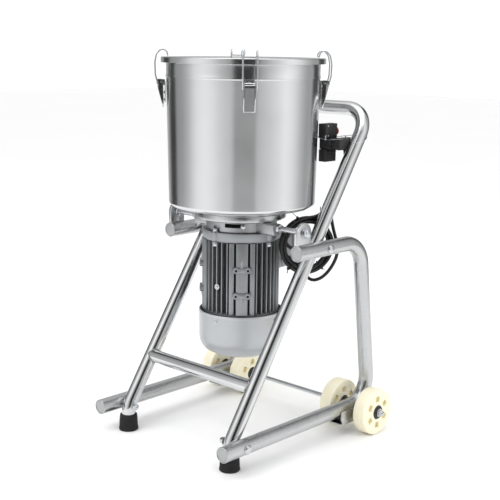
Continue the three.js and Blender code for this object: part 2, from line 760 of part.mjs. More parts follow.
node(machine, "motor_shaft", motorShaft(), "satin");
node(machine, "cooling_fan", coolingFan(), "plastic");
node(machine, "lower_blade", blade(551.3, 132, -0.2, 0), "blade");
node(machine, "blade_spacer", bladeSpacer(), "satin");
node(machine, "upper_blade", blade(567.3, 96, 0.5, 90), "blade");
node(machine, "blade_nut", bladeNut(), "satin");

latchAzimuths.forEach((azimuth, i) => {
  const latch = new THREE.Group();
  latch.rotation.z = radians(azimuth);
  machine.add(latch);
  node(latch, "latch_base_" + (i + 1), latchBase(), "satin");
  node(latch, "latch_lever_" + (i + 1), latchLever(), "polished");
  node(latch, "latch_bail_" + (i + 1), latchBail(), "polished");
});

machine.position.y = -(lowRailFrontY + handleY + legR) / 2; // centres the stand over the origin
export default machine;
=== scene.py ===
import math
import random

import bmesh
import bpy
from mathutils import Matrix, Vector


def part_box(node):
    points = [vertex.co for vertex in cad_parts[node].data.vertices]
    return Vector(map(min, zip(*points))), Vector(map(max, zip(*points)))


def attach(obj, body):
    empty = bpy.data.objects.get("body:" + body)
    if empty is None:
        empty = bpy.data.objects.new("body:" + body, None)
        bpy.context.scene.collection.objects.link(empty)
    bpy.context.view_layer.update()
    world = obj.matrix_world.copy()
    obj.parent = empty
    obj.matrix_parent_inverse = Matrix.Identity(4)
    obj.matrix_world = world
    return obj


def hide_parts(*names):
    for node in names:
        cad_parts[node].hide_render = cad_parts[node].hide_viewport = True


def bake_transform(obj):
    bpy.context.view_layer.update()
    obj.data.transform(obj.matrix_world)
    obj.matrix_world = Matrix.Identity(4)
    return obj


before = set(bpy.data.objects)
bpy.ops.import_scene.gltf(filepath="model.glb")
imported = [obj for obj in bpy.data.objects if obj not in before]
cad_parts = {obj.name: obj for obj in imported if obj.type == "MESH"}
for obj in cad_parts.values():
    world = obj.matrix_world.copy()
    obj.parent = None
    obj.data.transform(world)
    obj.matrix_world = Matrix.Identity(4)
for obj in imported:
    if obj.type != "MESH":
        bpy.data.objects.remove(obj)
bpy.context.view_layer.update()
scene = bpy.context.scene
random.seed(7)

# Everything is drawn in millimetres round the drum's axis, then brought into the frame in one step.
drumLow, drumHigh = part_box("drum")
drumY = (drumLow.y + drumHigh.y) / 2
toFrame = Matrix.Translation((0, drumY, 0)) @ Matrix.Scale(0.001, 4)
sides = {"right": -1, "left": 1}

stand = {
    "legX": 164.5, "legR": 16, "footY": -200, "kneeZ": 55, "handleY": 248.3, "handleZ": 737,
    "railX": 198.1, "railR": 17, "lowZ": 58.6, "topZ": 445.4, "lowFront": -255.5, "topFront": -38.2,
    "lowCorner": 230.1, "topCorner": 180.6, "crossZ": 163.5, "crossR": 15,
    "pivotY": -17.5, "pivotZ": 489, "axleY": 184.4, "axleZ": 53,
}


def legY(z):
    run = (z - stand["kneeZ"]) / (stand["handleZ"] - stand["kneeZ"])
    return stand["footY"] + (stand["handleY"] - stand["footY"]) * run


# ---- Mesh helpers ----
def merged(bm, part, matrix=None):
    spare = bpy.data.meshes.new("spare")
    if matrix is not None:
        bmesh.ops.transform(part, matrix=matrix, verts=part.verts)
    part.to_mesh(spare)
    part.free()
    bm.from_mesh(spare)
    bpy.data.meshes.remove(spare)
    return bm


def towards(at, direction):
    turn = Vector(direction).to_track_quat("Z", "Y").to_matrix().to_4x4()
    return Matrix.Translation(at) @ turn


def rounded(bm, width, steps=2, over=28):
    sharp = [e for e in bm.edges if e.is_manifold and e.calc_face_angle(0) > math.radians(over)]
    bmesh.ops.bevel(
        bm, geom=sharp, offset=width, segments=steps, profile=0.5, affect="EDGES",
        material=-1, clamp_overlap=True,
    )
    return bm


def turned(profile, steps=72):
    bm = bmesh.new()
    ring = [bm.verts.new((r, 0, z)) for r, z in profile]
    edges = [bm.edges.new(pair) for pair in zip(ring, ring[1:])]
    if profile[0][0] > 0 or profile[-1][0] > 0:
        edges.append(bm.edges.new((ring[-1], ring[0])))
    bmesh.ops.spin(
        bm, geom=ring + edges, cent=(0, 0, 0), axis=(0, 0, 1), angle=2 * math.pi,
        steps=steps, use_merge=True,
    )
    bmesh.ops.remove_doubles(bm, verts=bm.verts, dist=0.001)
    bmesh.ops.recalc_face_normals(bm, faces=bm.faces)
    return bm


def arc(r, z, radius, start, end, steps=6):
    turns = [math.radians(start + (end - start) * k / steps) for k in range(steps + 1)]
    return [(r + radius * math.cos(a), z + radius * math.sin(a)) for a in turns]


def alongX(bm, at=(0, 0, 0)):
    matrix = Matrix.Translation(at) @ Matrix.Rotation(math.pi / 2, 4, "Y")
    bmesh.ops.transform(bm, matrix=matrix, verts=bm.verts)
    return bm


def block(low, high, edge=1.0, steps=2):
    bm = bmesh.new()
    bmesh.ops.create_cube(bm, size=1)
    low, high = Vector(low), Vector(high)
    bmesh.ops.scale(bm, vec=high - low, verts=bm.verts)
    bmesh.ops.translate(bm, vec=(high + low) / 2, verts=bm.verts)
    if edge:
        bmesh.ops.bevel(
            bm, geom=bm.edges[:], offset=edge, segments=steps, profile=0.5, affect="EDGES",
            material=-1, clamp_overlap=True,
        )
    return bm


def drawn(outline, depth, edge=0.0, steps=2):
    # A prism along +X from points in the YZ plane.
    bm = bmesh.new()
    face = bm.faces.new([bm.verts.new((0, y, z)) for y, z in outline])
    made = bmesh.ops.extrude_face_region(bm, geom=[face])
    moved = [v for v in made["geom"] if isinstance(v, bmesh.types.BMVert)]
    bmesh.ops.translate(bm, vec=(depth, 0, 0), verts=moved)
    bmesh.ops.recalc_face_normals(bm, faces=bm.faces)
    if edge:
        rounded(bm, edge, steps, 40)
    return bm


def rodBetween(start, end, radius, segments=24, edge=0.0):
    start, end = Vector(start), Vector(end)
    bm = bmesh.new()
    bmesh.ops.create_cone(
        bm, cap_ends=True, segments=segments, radius1=radius, radius2=radius,
        depth=(end - start).length,
    )
    if edge:
        rounded(bm, edge, 2, 60)
    bmesh.ops.transform(bm, matrix=towards((start + end) / 2, end - start), verts=bm.verts)
    return bm


def bentRoute(corners, radii, perBend=14):
    route = []
    for i, corner in enumerate(corners):
        corner = Vector(corner)
        if i in (0, len(corners) - 1):
            route.append(corner)
            continue
        back = (Vector(corners[i - 1]) - corner).normalized()
        ahead = (Vector(corners[i + 1]) - corner).normalized()
        half = back.angle(ahead) / 2
        radius = radii[i - 1]
        centre = corner + (back + ahead).normalized() * (radius / math.sin(half))
        start = corner + back * (radius / math.tan(half)) - centre
        finish = corner + ahead * (radius / math.tan(half)) - centre
        sweep = start.angle(finish)
        axis = start.cross(finish)
        for k in range(perBend + 1):
            route.append(centre + Matrix.Rotation(sweep * k / perBend, 3, axis) @ start)
    return route


def pipe(route, radius, resolution=9, closed=False, taper=None):
    # A round tube along the points, capped at both ends.
    curve = bpy.data.curves.new("pipe", "CURVE")
    curve.dimensions = "3D"
    curve.bevel_depth = radius
    curve.bevel_resolution = resolution
    curve.use_fill_caps = not closed
    spline = curve.splines.new("POLY")
    spline.points.add(len(route) - 1)
    for i, (point, place) in enumerate(zip(spline.points, route)):
        point.co = (*place, 1)
        point.radius = taper[i] if taper else 1
    spline.use_cyclic_u = closed
    shape = bpy.data.objects.new("pipe", curve)
    mesh = bpy.data.meshes.new_from_object(shape)
    bm = bmesh.new()
    bm.from_mesh(mesh)
    bmesh.ops.remove_doubles(bm, verts=bm.verts, dist=0.001)
    bmesh.ops.recalc_face_normals(bm, faces=bm.faces)
    bpy.data.objects.remove(shape)
    bpy.data.curves.remove(curve)
    bpy.data.meshes.remove(mesh)
    return bm


def made(name, bm, material, body="frame", stands=(), slot=None, sharp=32):
    bmesh.ops.transform(bm, matrix=toFrame, verts=bm.verts)
    mesh = bpy.data.meshes.new(name)
    bm.to_mesh(mesh)
    bm.free()
    return dressed(name, mesh, material, body, stands, sharp)


def dressed(name, mesh, material, body, stands, sharp):
    mesh.shade_smooth()
    mesh.set_sharp_from_angle(angle=math.radians(sharp))
    mesh.materials.clear()
    mesh.materials.append(material)
    piece = bpy.data.objects.new(name, mesh)
    scene.collection.objects.link(piece)
    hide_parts(*stands)
    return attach(piece, body)


def cutWith(bm, tool):
    # Takes the tool's shape out of the piece.
    shapes = []
    for part in (bm, tool):
        mesh = bpy.data.meshes.new("shape")
        part.to_mesh(mesh)
        part.free()
        shape = bpy.data.objects.new("shape", mesh)
        scene.collection.objects.link(shape)
        shapes.append(shape)
    whole, cutter = shapes
    change = whole.modifiers.new("cut", "BOOLEAN")
    change.object = cutter
    change.operation = "DIFFERENCE"
    change.solver = "EXACT"
    change.use_self = True
    result = bpy.data.meshes.new_from_object(whole.evaluated_get(bpy.context.evaluated_depsgraph_get()))
    out = bmesh.new()
    out.from_mesh(result)
    for shape in shapes:
        bpy.data.objects.remove(shape)
    bpy.data.meshes.remove(result)
    return out


def hexNut(across, height, hole=0.0, domed=0.0):
    bm = bmesh.new()
    bmesh.ops.create_cone(
        bm, cap_ends=True, segments=6, radius1=across / 1.732, radius2=across / 1.732, depth=height,
    )
    bmesh.ops.translate(bm, vec=(0, 0, height / 2), verts=bm.verts)
    rounded(bm, across * 0.03, 2, 20)
    if domed:
        cap = [(0, height + domed)] + arc(0, height, domed, 80, 0, 6)[1:] + [(0, height - 0.2)]
        cap = [(r * across * 0.42 / domed, z) for r, z in cap]
        merged(bm, turned(list(reversed(cap)), 24))
    if hole:
        merged(bm, turned([(0, height), (hole, height), (hole, height + 0.6), (0, height + 1.2)], 20))
    return bm


def slottedScrew(radius, height):
    bm = turned([(0, 0), (radius, 0), (radius, height * 0.45), (radius * 0.6, height), (0, height * 1.1)],
                24)
    return rounded(bm, radius * 0.06, 1, 30)


# ---- Finishes ----
def linear(text):
    values = [int(text[i : i + 2], 16) / 255 for i in (1, 3, 5)]
    return [v / 12.92 if v <= 0.04045 else ((v + 0.055) / 1.055) ** 2.4 for v in values] + [1]


def addNode(tree, kind, settings=None, links=None):
    node = tree.nodes.new(kind)
    for key, value in (settings or {}).items():
        if isinstance(key, str) and hasattr(node, key):
            setattr(node, key, value)
        else:
            node.inputs[key].default_value = value
    for key, source in (links or {}).items():
        tree.links.new(source, node.inputs[key])
    return node


def newFinish(name, settings):
    material = bpy.data.materials.new(name)
    material.use_nodes = True
    tree = material.node_tree
    tree.nodes.clear()
    shader = addNode(tree, "ShaderNodeBsdfPrincipled", settings)
    output = addNode(tree, "ShaderNodeOutputMaterial", {}, {"Surface": shader.outputs[0]})
    place = addNode(tree, "ShaderNodeTexCoord")
    return material, tree, shader, place.outputs["Object"], output


def grainy(name, tones, rough, grain, bump, metallic=1.0, stretch=(1, 1, 1), extra=None, cloud=60):
    # Two tones mixed by broad clouding, roughness broken up by a fine grain, and the grain as relief.
    settings = {"Metallic": metallic, **(extra or {})}
    material, tree, shader, place, _ = newFinish(name, settings)
    spread = addNode(tree, "ShaderNodeMapping", {"Scale": stretch}, {"Vector": place})
    fine = addNode(
        tree, "ShaderNodeTexNoise", {"Scale": 1000 / grain, "Detail": 5, "Roughness": 0.6},
        {"Vector": spread.outputs[0]},
    )
    broad = addNode(
        tree, "ShaderNodeTexNoise", {"Scale": 1000 / cloud, "Detail": 3}, {"Vector": place},
    )
    tone = addNode(
        tree, "ShaderNodeMix", {"data_type": "RGBA", 6: linear(tones[0]), 7: linear(tones[1])},
        {0: broad.outputs[0]},
    )
    tree.links.new(tone.outputs[2], shader.inputs["Base Color"])
    mixed = addNode(
        tree, "ShaderNodeMath", {"operation": "MULTIPLY_ADD", 1: 0.6},
        {0: fine.outputs[0], 2: broad.outputs[0]},
    )
    roughness = addNode(
        tree, "ShaderNodeMapRange",
        {"From Min": 0.45, "From Max": 1.15, "To Min": rough[0], "To Max": rough[1]},
        {"Value": mixed.outputs[0]},
    )
    tree.links.new(roughness.outputs[0], shader.inputs["Roughness"])
    relief = addNode(
        tree, "ShaderNodeBump", {"Strength": bump[0], "Distance": bump[1] / 1000},
        {"Height": fine.outputs[0]},
    )
    tree.links.new(relief.outputs[0], shader.inputs["Normal"])
    return material


finishes = {
    # Drum sheet, brushed round and polished: bands blur up and down but keep crisp upright edges.
    "drumSheet": grainy("brushedStainlessSheet", ("#cfd0d1", "#dcddde"), (0.13, 0.22), 3.0, (0.05, 0.05),
                        stretch=(0.35, 0.35, 6), cloud=140),
    # Bright-polished tube: near mirror, with faint lines left along it by the polishing belt.
    "brightTube": grainy("polishedStainlessTube", ("#c9cacb", "#dadbdc"), (0.08, 0.17), 2.2, (0.05, 0.03),
                         stretch=(5, 0.5, 0.5), cloud=90),
    # Side tubes as drawn and belt-satined: softer, greyer reflections.
    "satinTube": grainy("satinStainlessTube", ("#b7b8b9", "#c8c9ca"), (0.22, 0.34), 1.6, (0.08, 0.04),
                        stretch=(5, 0.6, 0.6), cloud=70),
    # Machined and brushed plate: fine turning lines.
    "turnedSteel": grainy("machinedStainless", ("#b5b6b7", "#cbcccd"), (0.2, 0.32), 1.2, (0.12, 0.04),
                          stretch=(0.5, 0.5, 7), cloud=50),
    # Bright zinc on bolts, nuts and axle: slightly blue and clouded.
    "zinc": grainy("brightZincPlate", ("#b9bcc0", "#d5d8db"), (0.14, 0.3), 0.9, (0.1, 0.03), cloud=12),
    # Cast and shot-blasted aluminium: matt, with a sandy grain.
    "castAluminium": grainy("castAluminium", ("#8d9092", "#a6a9ab"), (0.36, 0.52), 0.9, (0.35, 0.09),
                            metallic=0.85, cloud=30),
    # Neck ring, machined from a casting: brighter than the motor.
    "neckCasting": grainy("skimmedCasting", ("#a2a4a6", "#bcbebf"), (0.3, 0.44), 0.8, (0.25, 0.06),
                          metallic=0.95, cloud=26),
    # Pressed cowl in silver-grey stove enamel with faint orange peel.
    "cowlEnamel": grainy("silverGreyEnamel", ("#aeb1b3", "#b9bcbe"), (0.3, 0.4), 2.4, (0.12, 0.05),
                         metallic=0.35, cloud=60, extra={"Coat Weight": 0.25, "Coat Roughness": 0.25}),
    # Injection-moulded nylon: ivory, waxy, a little light goes in.
    "nylon": grainy("ivoryNylon", ("#e9e2c4", "#f3eed8"), (0.34, 0.46), 1.4, (0.12, 0.05), metallic=0,
                    cloud=22, extra={"Subsurface Weight": 0.15, "Subsurface Scale": 0.004,
                                     "Subsurface Radius": (1.0, 0.8, 0.5), "IOR": 1.53}),
    # The same nylon in the pockets, darker and yellower: painted shade in the pockets.
    "nylonPocketShade": grainy("pocketShadeNylon", ("#e3cd86", "#ecdba2"), (0.38, 0.5), 1.4, (0.12, 0.05), metallic=0,
                        cloud=16, extra={"Subsurface Weight": 0.15, "Subsurface Scale": 0.004,
                                         "Subsurface Radius": (1.0, 0.8, 0.4), "IOR": 1.53}),
    # Moulded rubber of the feet: dull, dusty, fine grain.
    "rubber": grainy("mouldedRubber", ("#101011", "#1c1c1d"), (0.62, 0.8), 0.8, (0.3, 0.08), metallic=0,
                     cloud=14, extra={"IOR": 1.52, "Specular IOR Level": 0.35}),
    # Extruded cable sheath: black PVC with a soft sheen.
    "sheath": grainy("blackPvcSheath", ("#0b0b0c", "#151516"), (0.38, 0.52), 1.0, (0.12, 0.04), metallic=0,
                     cloud=18, extra={"IOR": 1.53}),
    # Spark-eroded ABS of the switch boxes: fine even texture.
    "abs": grainy("texturedBlackAbs", ("#131314", "#1d1d1f"), (0.42, 0.56), 0.7, (0.35, 0.06), metallic=0,
                  cloud=20, extra={"IOR": 1.54}),
    # Gloss red cap of the stop button.
    "redCap": grainy("glossRedAbs", ("#b3131c", "#c81d24"), (0.18, 0.28), 1.2, (0.05, 0.03), metallic=0,
                     cloud=9, extra={"IOR": 1.54, "Coat Weight": 0.3, "Coat Roughness": 0.1}),
    # Grey plastic plugs in the tube ends.
    "plugGrey": grainy("greyTubePlug", ("#9c9d9e", "#adaeaf"), (0.36, 0.5), 0.9, (0.2, 0.05), metallic=0.4,
                       cloud=12),
    # Platinum-cured silicone seal: milky and soft.
    "silicone": grainy("milkySilicone", ("#dcdcd6", "#e8e8e3"), (0.5, 0.62), 1.1, (0.1, 0.04), metallic=0,
                       cloud=15, extra={"IOR": 1.41, "Subsurface Weight": 0.2,
                                        "Subsurface Scale": 0.003}),
    # Varnished winding.
    "winding": grainy("varnishedCopper", ("#6e3f22", "#9a6236"), (0.3, 0.45), 0.7, (0.4, 0.12),
                      stretch=(6, 6, 1), cloud=10),
    # Sunk panel of the levers, greyer than the raised edge round it: painted shade in the recess.
    "pressedPanel": grainy("paintedShadeSunkPanel", ("#6f7173", "#86888a"), (0.24, 0.34), 1.4, (0.1, 0.04),
                           stretch=(1, 1, 4), cloud=18),
    # Unfinished wall between the motor's fins, painted dark: painted shade between the fins.
    "finWall": grainy("paintedShadeFinWall", ("#1f2021", "#303233"), (0.55, 0.75), 0.9, (0.35, 0.09), metallic=0.3,
                      cloud=24),
    # Ground cutter steel: crosswise grinding lines.
    "blade": grainy("groundBladeSteel", ("#b9bbbd", "#d3d5d7"), (0.12, 0.26), 0.9, (0.15, 0.04),
                    stretch=(1, 7, 1), cloud=16),
    # Welds left as run: rippled, a little straw and blue.
    "weld": grainy("steelWeld", ("#8f8a80", "#b9bbbd"), (0.28, 0.5), 1.6, (0.6, 0.25), cloud=5),
    # Shadowed inside of an opening in a casting.
    "darkBore": grainy("unlitBore", ("#0a0a0a", "#141414"), (0.6, 0.8), 1.0, (0.2, 0.05), metallic=0.2,
                       cloud=9),
}
print("finishes ready")

# ---- Camera, light and floor ----
camera = {"place": (1573.4, -1640.7, 880.9), "azimuth": 43.306, "down": 11.449, "roll": 0.726, "lens": 73.44}


def makeCamera():
    a, e, roll = (math.radians(camera[k]) for k in ("azimuth", "down", "roll"))
    back = Vector((math.sin(a) * math.cos(e), -math.cos(a) * math.cos(e), math.sin(e)))
    right = Vector((math.cos(a), math.sin(a), 0))
    up = back.cross(right)
    right, up = (
        right * math.cos(roll) + up * math.sin(roll),
        up * math.cos(roll) - right * math.sin(roll),
    )
    data = bpy.data.cameras.new("camera")
    data.lens = camera["lens"]
    data.sensor_width = 36
    data.clip_end = 60
    view = bpy.data.objects.new("camera", data)
    view.matrix_world = Matrix.Translation(toFrame @ Vector(camera["place"])) @ Matrix(
        (right, up, back)
    ).transposed().to_4x4()
    scene.collection.objects.link(view)
    scene.camera = view


lighting = {
    "sky": 1.08,
    "tentReach": 1.9,
    "tentHeight": 3.0,
    # Brightness of the tent wall by degrees round from the camera: soft boxes with black flags between.
    "tent": [
        (-180, 0.75), (-150, 0.5), (-134, 0.06), (-119, 0.05), (-115, 0.38), (-100, 0.42), (-87, 0.6),
        (-72, 1.0),
        (-58, 1.12), (-45, 1.0), (-30, 0.66), (-14, 0.45), (-12.5, 0.045), (19, 0.05), (20.5, 0.42),
        (34, 0.6),
        (50, 0.85), (66, 1.14), (80, 1.0), (96, 0.62), (110, 0.42), (121, 0.5), (126, 0.06), (144, 0.1),
        (152, 0.6),
    ],
    "key": {"turn": -55, "up": 2.6, "reach": 2.6, "size": 1.6, "watts": 30},
    "fill": {"turn": 60, "up": 1.5, "reach": 2.8, "size": 1.8, "watts": 16},
    "top": {"turn": 0, "up": 3.2, "reach": 0.1, "size": 2.2, "watts": 20},
}


def roundFrom(turn, reach, z):
    a = math.radians(camera["azimuth"] + turn)
    return Vector((math.sin(a) * reach, -math.cos(a) * reach, z))


def makeLight():
    world = bpy.data.worlds.new("studio")
    world.use_nodes = True
    sky = world.node_tree.nodes["Background"]
    sky.inputs[0].default_value = (1, 1, 1, 1)
    sky.inputs[1].default_value = lighting["sky"]
    scene.world = world
    scene.view_settings.view_transform = "Standard"
    for name in ("key", "fill", "top"):
        setting = lighting[name]
        data = bpy.data.lights.new(name, "AREA")
        data.shape = "SQUARE"
        data.size = setting["size"]
        data.energy = setting["watts"]
        lamp = bpy.data.objects.new(name, data)
        lamp.location = roundFrom(setting["turn"], setting["reach"], setting["up"])
        aim = Vector((0, 0, 0.45)) - lamp.location
        lamp.rotation_euler = aim.to_track_quat("-Z", "Y").to_euler()
        scene.collection.objects.link(lamp)


def makeFloor():
    # Seamless white paper: matt, with a faint tooth.
    paper = grainy("whitePaperSweep", ("#f2f2f2", "#f5f5f5"), (0.6, 0.8), 6, (0.02, 0.1), metallic=0,
                   cloud=900, extra={"Specular IOR Level": 0.2})
    bm = bmesh.new()
    bmesh.ops.create_grid(bm, x_segments=4, y_segments=4, size=14)
    mesh = bpy.data.meshes.new("floor")
    bm.to_mesh(mesh)
    bm.free()
    mesh.materials.append(paper)
    floor = bpy.data.objects.new("floor", mesh)
    scene.collection.objects.link(floor)


def tentCloth():
    # Glowing cloth whose strength follows the angle round from the camera's side.
    material = bpy.data.materials.new("studioTentCloth")
    material.use_nodes = True
    tree = material.node_tree
    tree.nodes.clear()
    place = addNode(tree, "ShaderNodeTexCoord", {}, {})
    split = addNode(tree, "ShaderNodeSeparateXYZ", {}, {0: place.outputs["Object"]})
    behind = addNode(tree, "ShaderNodeMath", {"operation": "MULTIPLY", 1: -1.0}, {0: split.outputs[1]})
    angle = addNode(
        tree, "ShaderNodeMath", {"operation": "ARCTAN2"}, {0: split.outputs[0], 1: behind.outputs[0]}
    )
    turned = addNode(
        tree, "ShaderNodeMath", {"operation": "SUBTRACT", 1: math.radians(camera["azimuth"])},
        {0: angle.outputs[0]},
    )
    wrapped = addNode(
        tree, "ShaderNodeMath", {"operation": "WRAP", 1: math.pi, 2: -math.pi}, {0: turned.outputs[0]}
    )
    share = addNode(
        tree, "ShaderNodeMapRange", {"From Min": -math.pi, "From Max": math.pi},
        {"Value": wrapped.outputs[0]}
    )
    ramp = addNode(tree, "ShaderNodeValToRGB", {}, {0: share.outputs[0]})
    stops = ramp.color_ramp.elements
    while len(stops) < len(lighting["tent"]):
        stops.new(0.5)
    for stop, (turn, level) in zip(stops, lighting["tent"]):
        stop.position = (turn + 180) / 360
    for stop, (turn, level) in zip(stops, lighting["tent"]):
        stop.color = (level, level, level, 1)
    glow = addNode(tree, "ShaderNodeEmission", {"Strength": 1.0}, {"Color": ramp.outputs[0]})
    end = addNode(tree, "ShaderNodeOutputMaterial", {}, {"Surface": glow.outputs[0]})
    end.is_active_output = True
    return material


def makeTent():
    # A round tent of soft boxes and flags that only reflections see.
    bm = bmesh.new()
    steps = 96
    low = [bm.verts.new(roundFrom(360 * k / steps, lighting["tentReach"], 0.01)) for k in range(steps)]
    edges = [bm.edges.new((low[k], low[(k + 1) % steps])) for k in range(steps)]
    raised = bmesh.ops.extrude_edge_only(bm, edges=edges)
    tops = [v for v in raised["geom"] if isinstance(v, bmesh.types.BMVert)]
    bmesh.ops.translate(bm, vec=(0, 0, lighting["tentHeight"]), verts=tops)
    mesh = bpy.data.meshes.new("tent")
    bm.to_mesh(mesh)
    bm.free()
    mesh.materials.append(tentCloth())
    tent = bpy.data.objects.new("tent", mesh)
    scene.collection.objects.link(tent)
    tent.visible_camera = False
    tent.visible_diffuse = False
    tent.visible_shadow = False
    tent.visible_transmission = False


makeCamera()
makeLight()
makeFloor()
makeTent()
print("camera and light ready")

# ---- Power cord ----
cord = {
    "diameter": 8, "length": 1.78, "at": (129, 76, 0), "turn": -27, "z": 440, "inner": 53.5,
    "outer": 61.5, "near": -4,
    "far": 4, "beside": (-12.3, 57), "curl": (-11, 460.2, 34), "plug": (-28.5, 11.3, 426.2), "perTurn": 20,
}
outlets = {"x": 137, "power": 197, "motor": 209.5, "z": 648.5, "length": 14.3}
leadRoute = [
    (137, 197, 632.6), (137, 197, 628), (137, 188.4, 612), (137, 174, 590), (137, 159.5, 568),
    (137.4, 145, 546),
    (138.2, 131.6, 527), (139.6, 116.5, 513), (140.4, 98.3, 505.7),
]
motorRoute = [
    (137, 209.5, 634), (137, 209.5, 629), (137, 202, 611), (137, 188, 590), (137, 174, 568),
    (137.5, 161, 546),
    (139, 150, 524), (144, 143, 498), (153, 141, 470), (162, 142, 443), (165.5, 141, 420), (161, 136, 397),
    (150, 126, 373), (136, 115, 358), (120, 108, 354), (103, 106, 362), (88, 109.5, 376), (73.4, 110, 383.2),
]
hank = Matrix.Translation(cord["at"]) @ Matrix.Rotation(math.radians(cord["turn"]), 4, "Z")


def eased(value, start, end):
    share = min(max((value - start) / (end - start), 0), 1)
    return share * share * (3 - 2 * share)


def coilPoint(turn):
    # turn counts degrees from the top, over the front: the cord steps one place in the bundle per turn,
    # a little earlier each time, so that the place it moves to is empty.
    places = [
        (cord["far"], cord["outer"]), (cord["far"], cord["inner"]), (cord["near"], cord["inner"]),
        (cord["near"], cord["outer"]), cord["beside"],
    ]
    x, radius = places[0]
    for k, (nextX, nextRadius) in enumerate(places[1:]):
        share = eased(turn, 268 + 280 * k, 348 + 280 * k)
        x += share * (nextX - places[k][0])
        radius += share * (nextRadius - places[k][1])
    a = math.radians(turn)
    return hank @ Vector((x, -radius * math.sin(a), cord["z"] + radius * math.cos(a)))


def curlRoute():
    # The last turn lies beside the coil, then curls inwards to the plug.
    y, z, radius = cord["curl"]
    startX, endX = cord["beside"][0], cord["plug"][0]
    route = []
    for k in range(1, 11):
        a = math.radians(28.6 + 151.4 * k / 10)
        x = startX + (endX - startX) * eased(k, -1, 11.5)
        route.append(hank @ Vector((x, y - radius * math.sin(a), z + radius * math.cos(a))))
    route.append(hank @ Vector((endX + 0.2, 3, cord["plug"][2])))
    route.append(hank @ Vector((endX, 11, cord["plug"][2])))
    return route


def cordCurve():
    route = list(leadRoute)
    first, last = 14, 360 * 4 + 28.6
    steps = int(last / 360 * cord["perTurn"])
    route += [coilPoint(first + (last - first) * k / steps) for k in range(steps + 1)]
    route += curlRoute()
    curve = bpy.data.curves.new("powerCord", "CURVE")
    curve.dimensions = "3D"
    curve.bevel_depth = cord["diameter"] / 2000
    curve.bevel_resolution = 5
    curve.resolution_u = 5
    curve.use_fill_caps = True
    spline = curve.splines.new("BEZIER")
    spline.bezier_points.add(len(route) - 1)
    for point, place in zip(spline.bezier_points, route):
        point.co = toFrame @ Vector(place)
        point.handle_left_type = point.handle_right_type = "AUTO"
    curve.materials.append(finishes["sheath"])
    piece = bpy.data.objects.new("powerCord", curve)
    scene.collection.objects.link(piece)
    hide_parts("power_cord_lead", "power_cord_coil", "power_cord_tail")
    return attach(piece, "frame")


def plug():
    # Moulded three-pin plug: ribbed neck, body with finger hollows, bright pins.
    neck = [(0, 0), (5, 0)]
    for k in range(6):
        z = 1.5 + 2.6 * k
        wide, thin = 5.6 + k * 0.25, 4.7 + k * 0.25
        neck += [(wide, z), (wide, z + 1.5), (thin, z + 1.7), (thin, z + 2.4)]
    grip = [(8, 19), (11.4, 24), (11.4, 38), (10.6, 41), (10.6, 51), (11.4, 54), (10, 55.7), (0, 55.7)]
    body = turned(neck + grip, 36)
    rounded(body, 0.5, 2, 30)
    x, start, z = cord["plug"]
    bmesh.ops.transform(body, matrix=hank @ towards((x, start, z), (0, 1, 0)), verts=body.verts)
    whole = made("plugBody", body, finishes["sheath"], stands=("power_plug",), slot="black_rubber")
    pins = bmesh.new()
    for across, up in ((5, 4), (-5, 4), (0, -5.5)):
        pin = rodBetween((x + across, 65, z + up), (x + across, 83, z + up), 1.9, 16, 0.6)
        merged(pins, pin, hank)
    return whole, made("plugPins", pins, finishes["zinc"])


def strainRelief(name, at, direction, length, stands, big=6.5):
    # Ribbed tapering sleeve where the cord leaves its box.
    profile = [(0, 0), (big, 0), (big, 5.5), (big - 0.6, 6)]
    ribs = 4
    for k in range(ribs):
        z = 7 + (length - 9) * k / ribs
        r = big - 0.8 - (big - 5.6) * k / ribs
        profile += [(r - 0.8, z), (r, z + 0.5), (r, z + 1.6), (r - 0.8, z + 2.1)]
    profile += [(4.7, length), (0, length)]
    bm = turned(profile, 28)
    bmesh.ops.transform(bm, matrix=towards(at, direction), verts=bm.verts)
    return made(name, bm, finishes["rubber"], stands=stands, slot="black_rubber")


def cableTies():
    # Nylon ties round the bundle, with their cut tails left standing.
    bm = bmesh.new()
    for turn, tail in ((20, 34), (62, 12), (-28, 26), (140, 10), (215, 8)):
        a = math.radians(turn)
        centre = Vector((0, -57.5 * math.sin(a), cord["z"] + 57.5 * math.cos(a)))
        outward = Vector((0, -math.sin(a), math.cos(a)))
        along = Vector((1, 0, 0))
        corner = [(9.2, 9.2), (-9.2, 9.2), (-9.2, -9.2), (9.2, -9.2)]
        loop = []
        for k, (u, v) in enumerate(corner):
            for step in range(5):
                bend = math.radians(45 + 90 * k - 40 + 20 * step)
                rise = outward * (v * 0.72 + 2.6 * math.sin(bend))
                reach = along * (u * 0.72 + 2.6 * math.cos(bend))
                loop.append(centre + rise + reach)
        merged(bm, pipe(loop, 0.9, 2, closed=True))
        head = block((-2.5, -2, -2), (2.5, 2, 3), 0.5, 1)
        merged(bm, head, towards(centre + outward * 9.6, outward))
        lean = outward * math.cos(0.5) + along.cross(outward) * math.sin(0.5)
        strip = block((-1.7, -0.5, 0), (1.7, 0.5, tail), 0.3, 1)
        merged(bm, strip, towards(centre + outward * 10, lean))
    bmesh.ops.transform(bm, matrix=hank, verts=bm.verts)
    made("cableTies", bm, finishes["abs"])


powerCord = cordCurve()
plugBody, plugPins = plug()
gland = strainRelief("cordGland", (outlets["x"], outlets["power"], outlets["z"] - 0.3), (0, 0, -1),
                     outlets["length"], ("cord_gland",), 6)
cableTies()
print("power cord ready")

# ---- Stand ----
def tubeEnds(bm, places, direction, radius):
    for place in places:
        lip = turned([(radius - 2.2, -1)] + arc(radius - 1.1, 0.2, 1.1, 180, 0, 6) + [(radius, -1)], 48)
        bmesh.ops.transform(lip, matrix=towards(place, direction), verts=lip.verts)
        merged(bm, lip)
    return bm


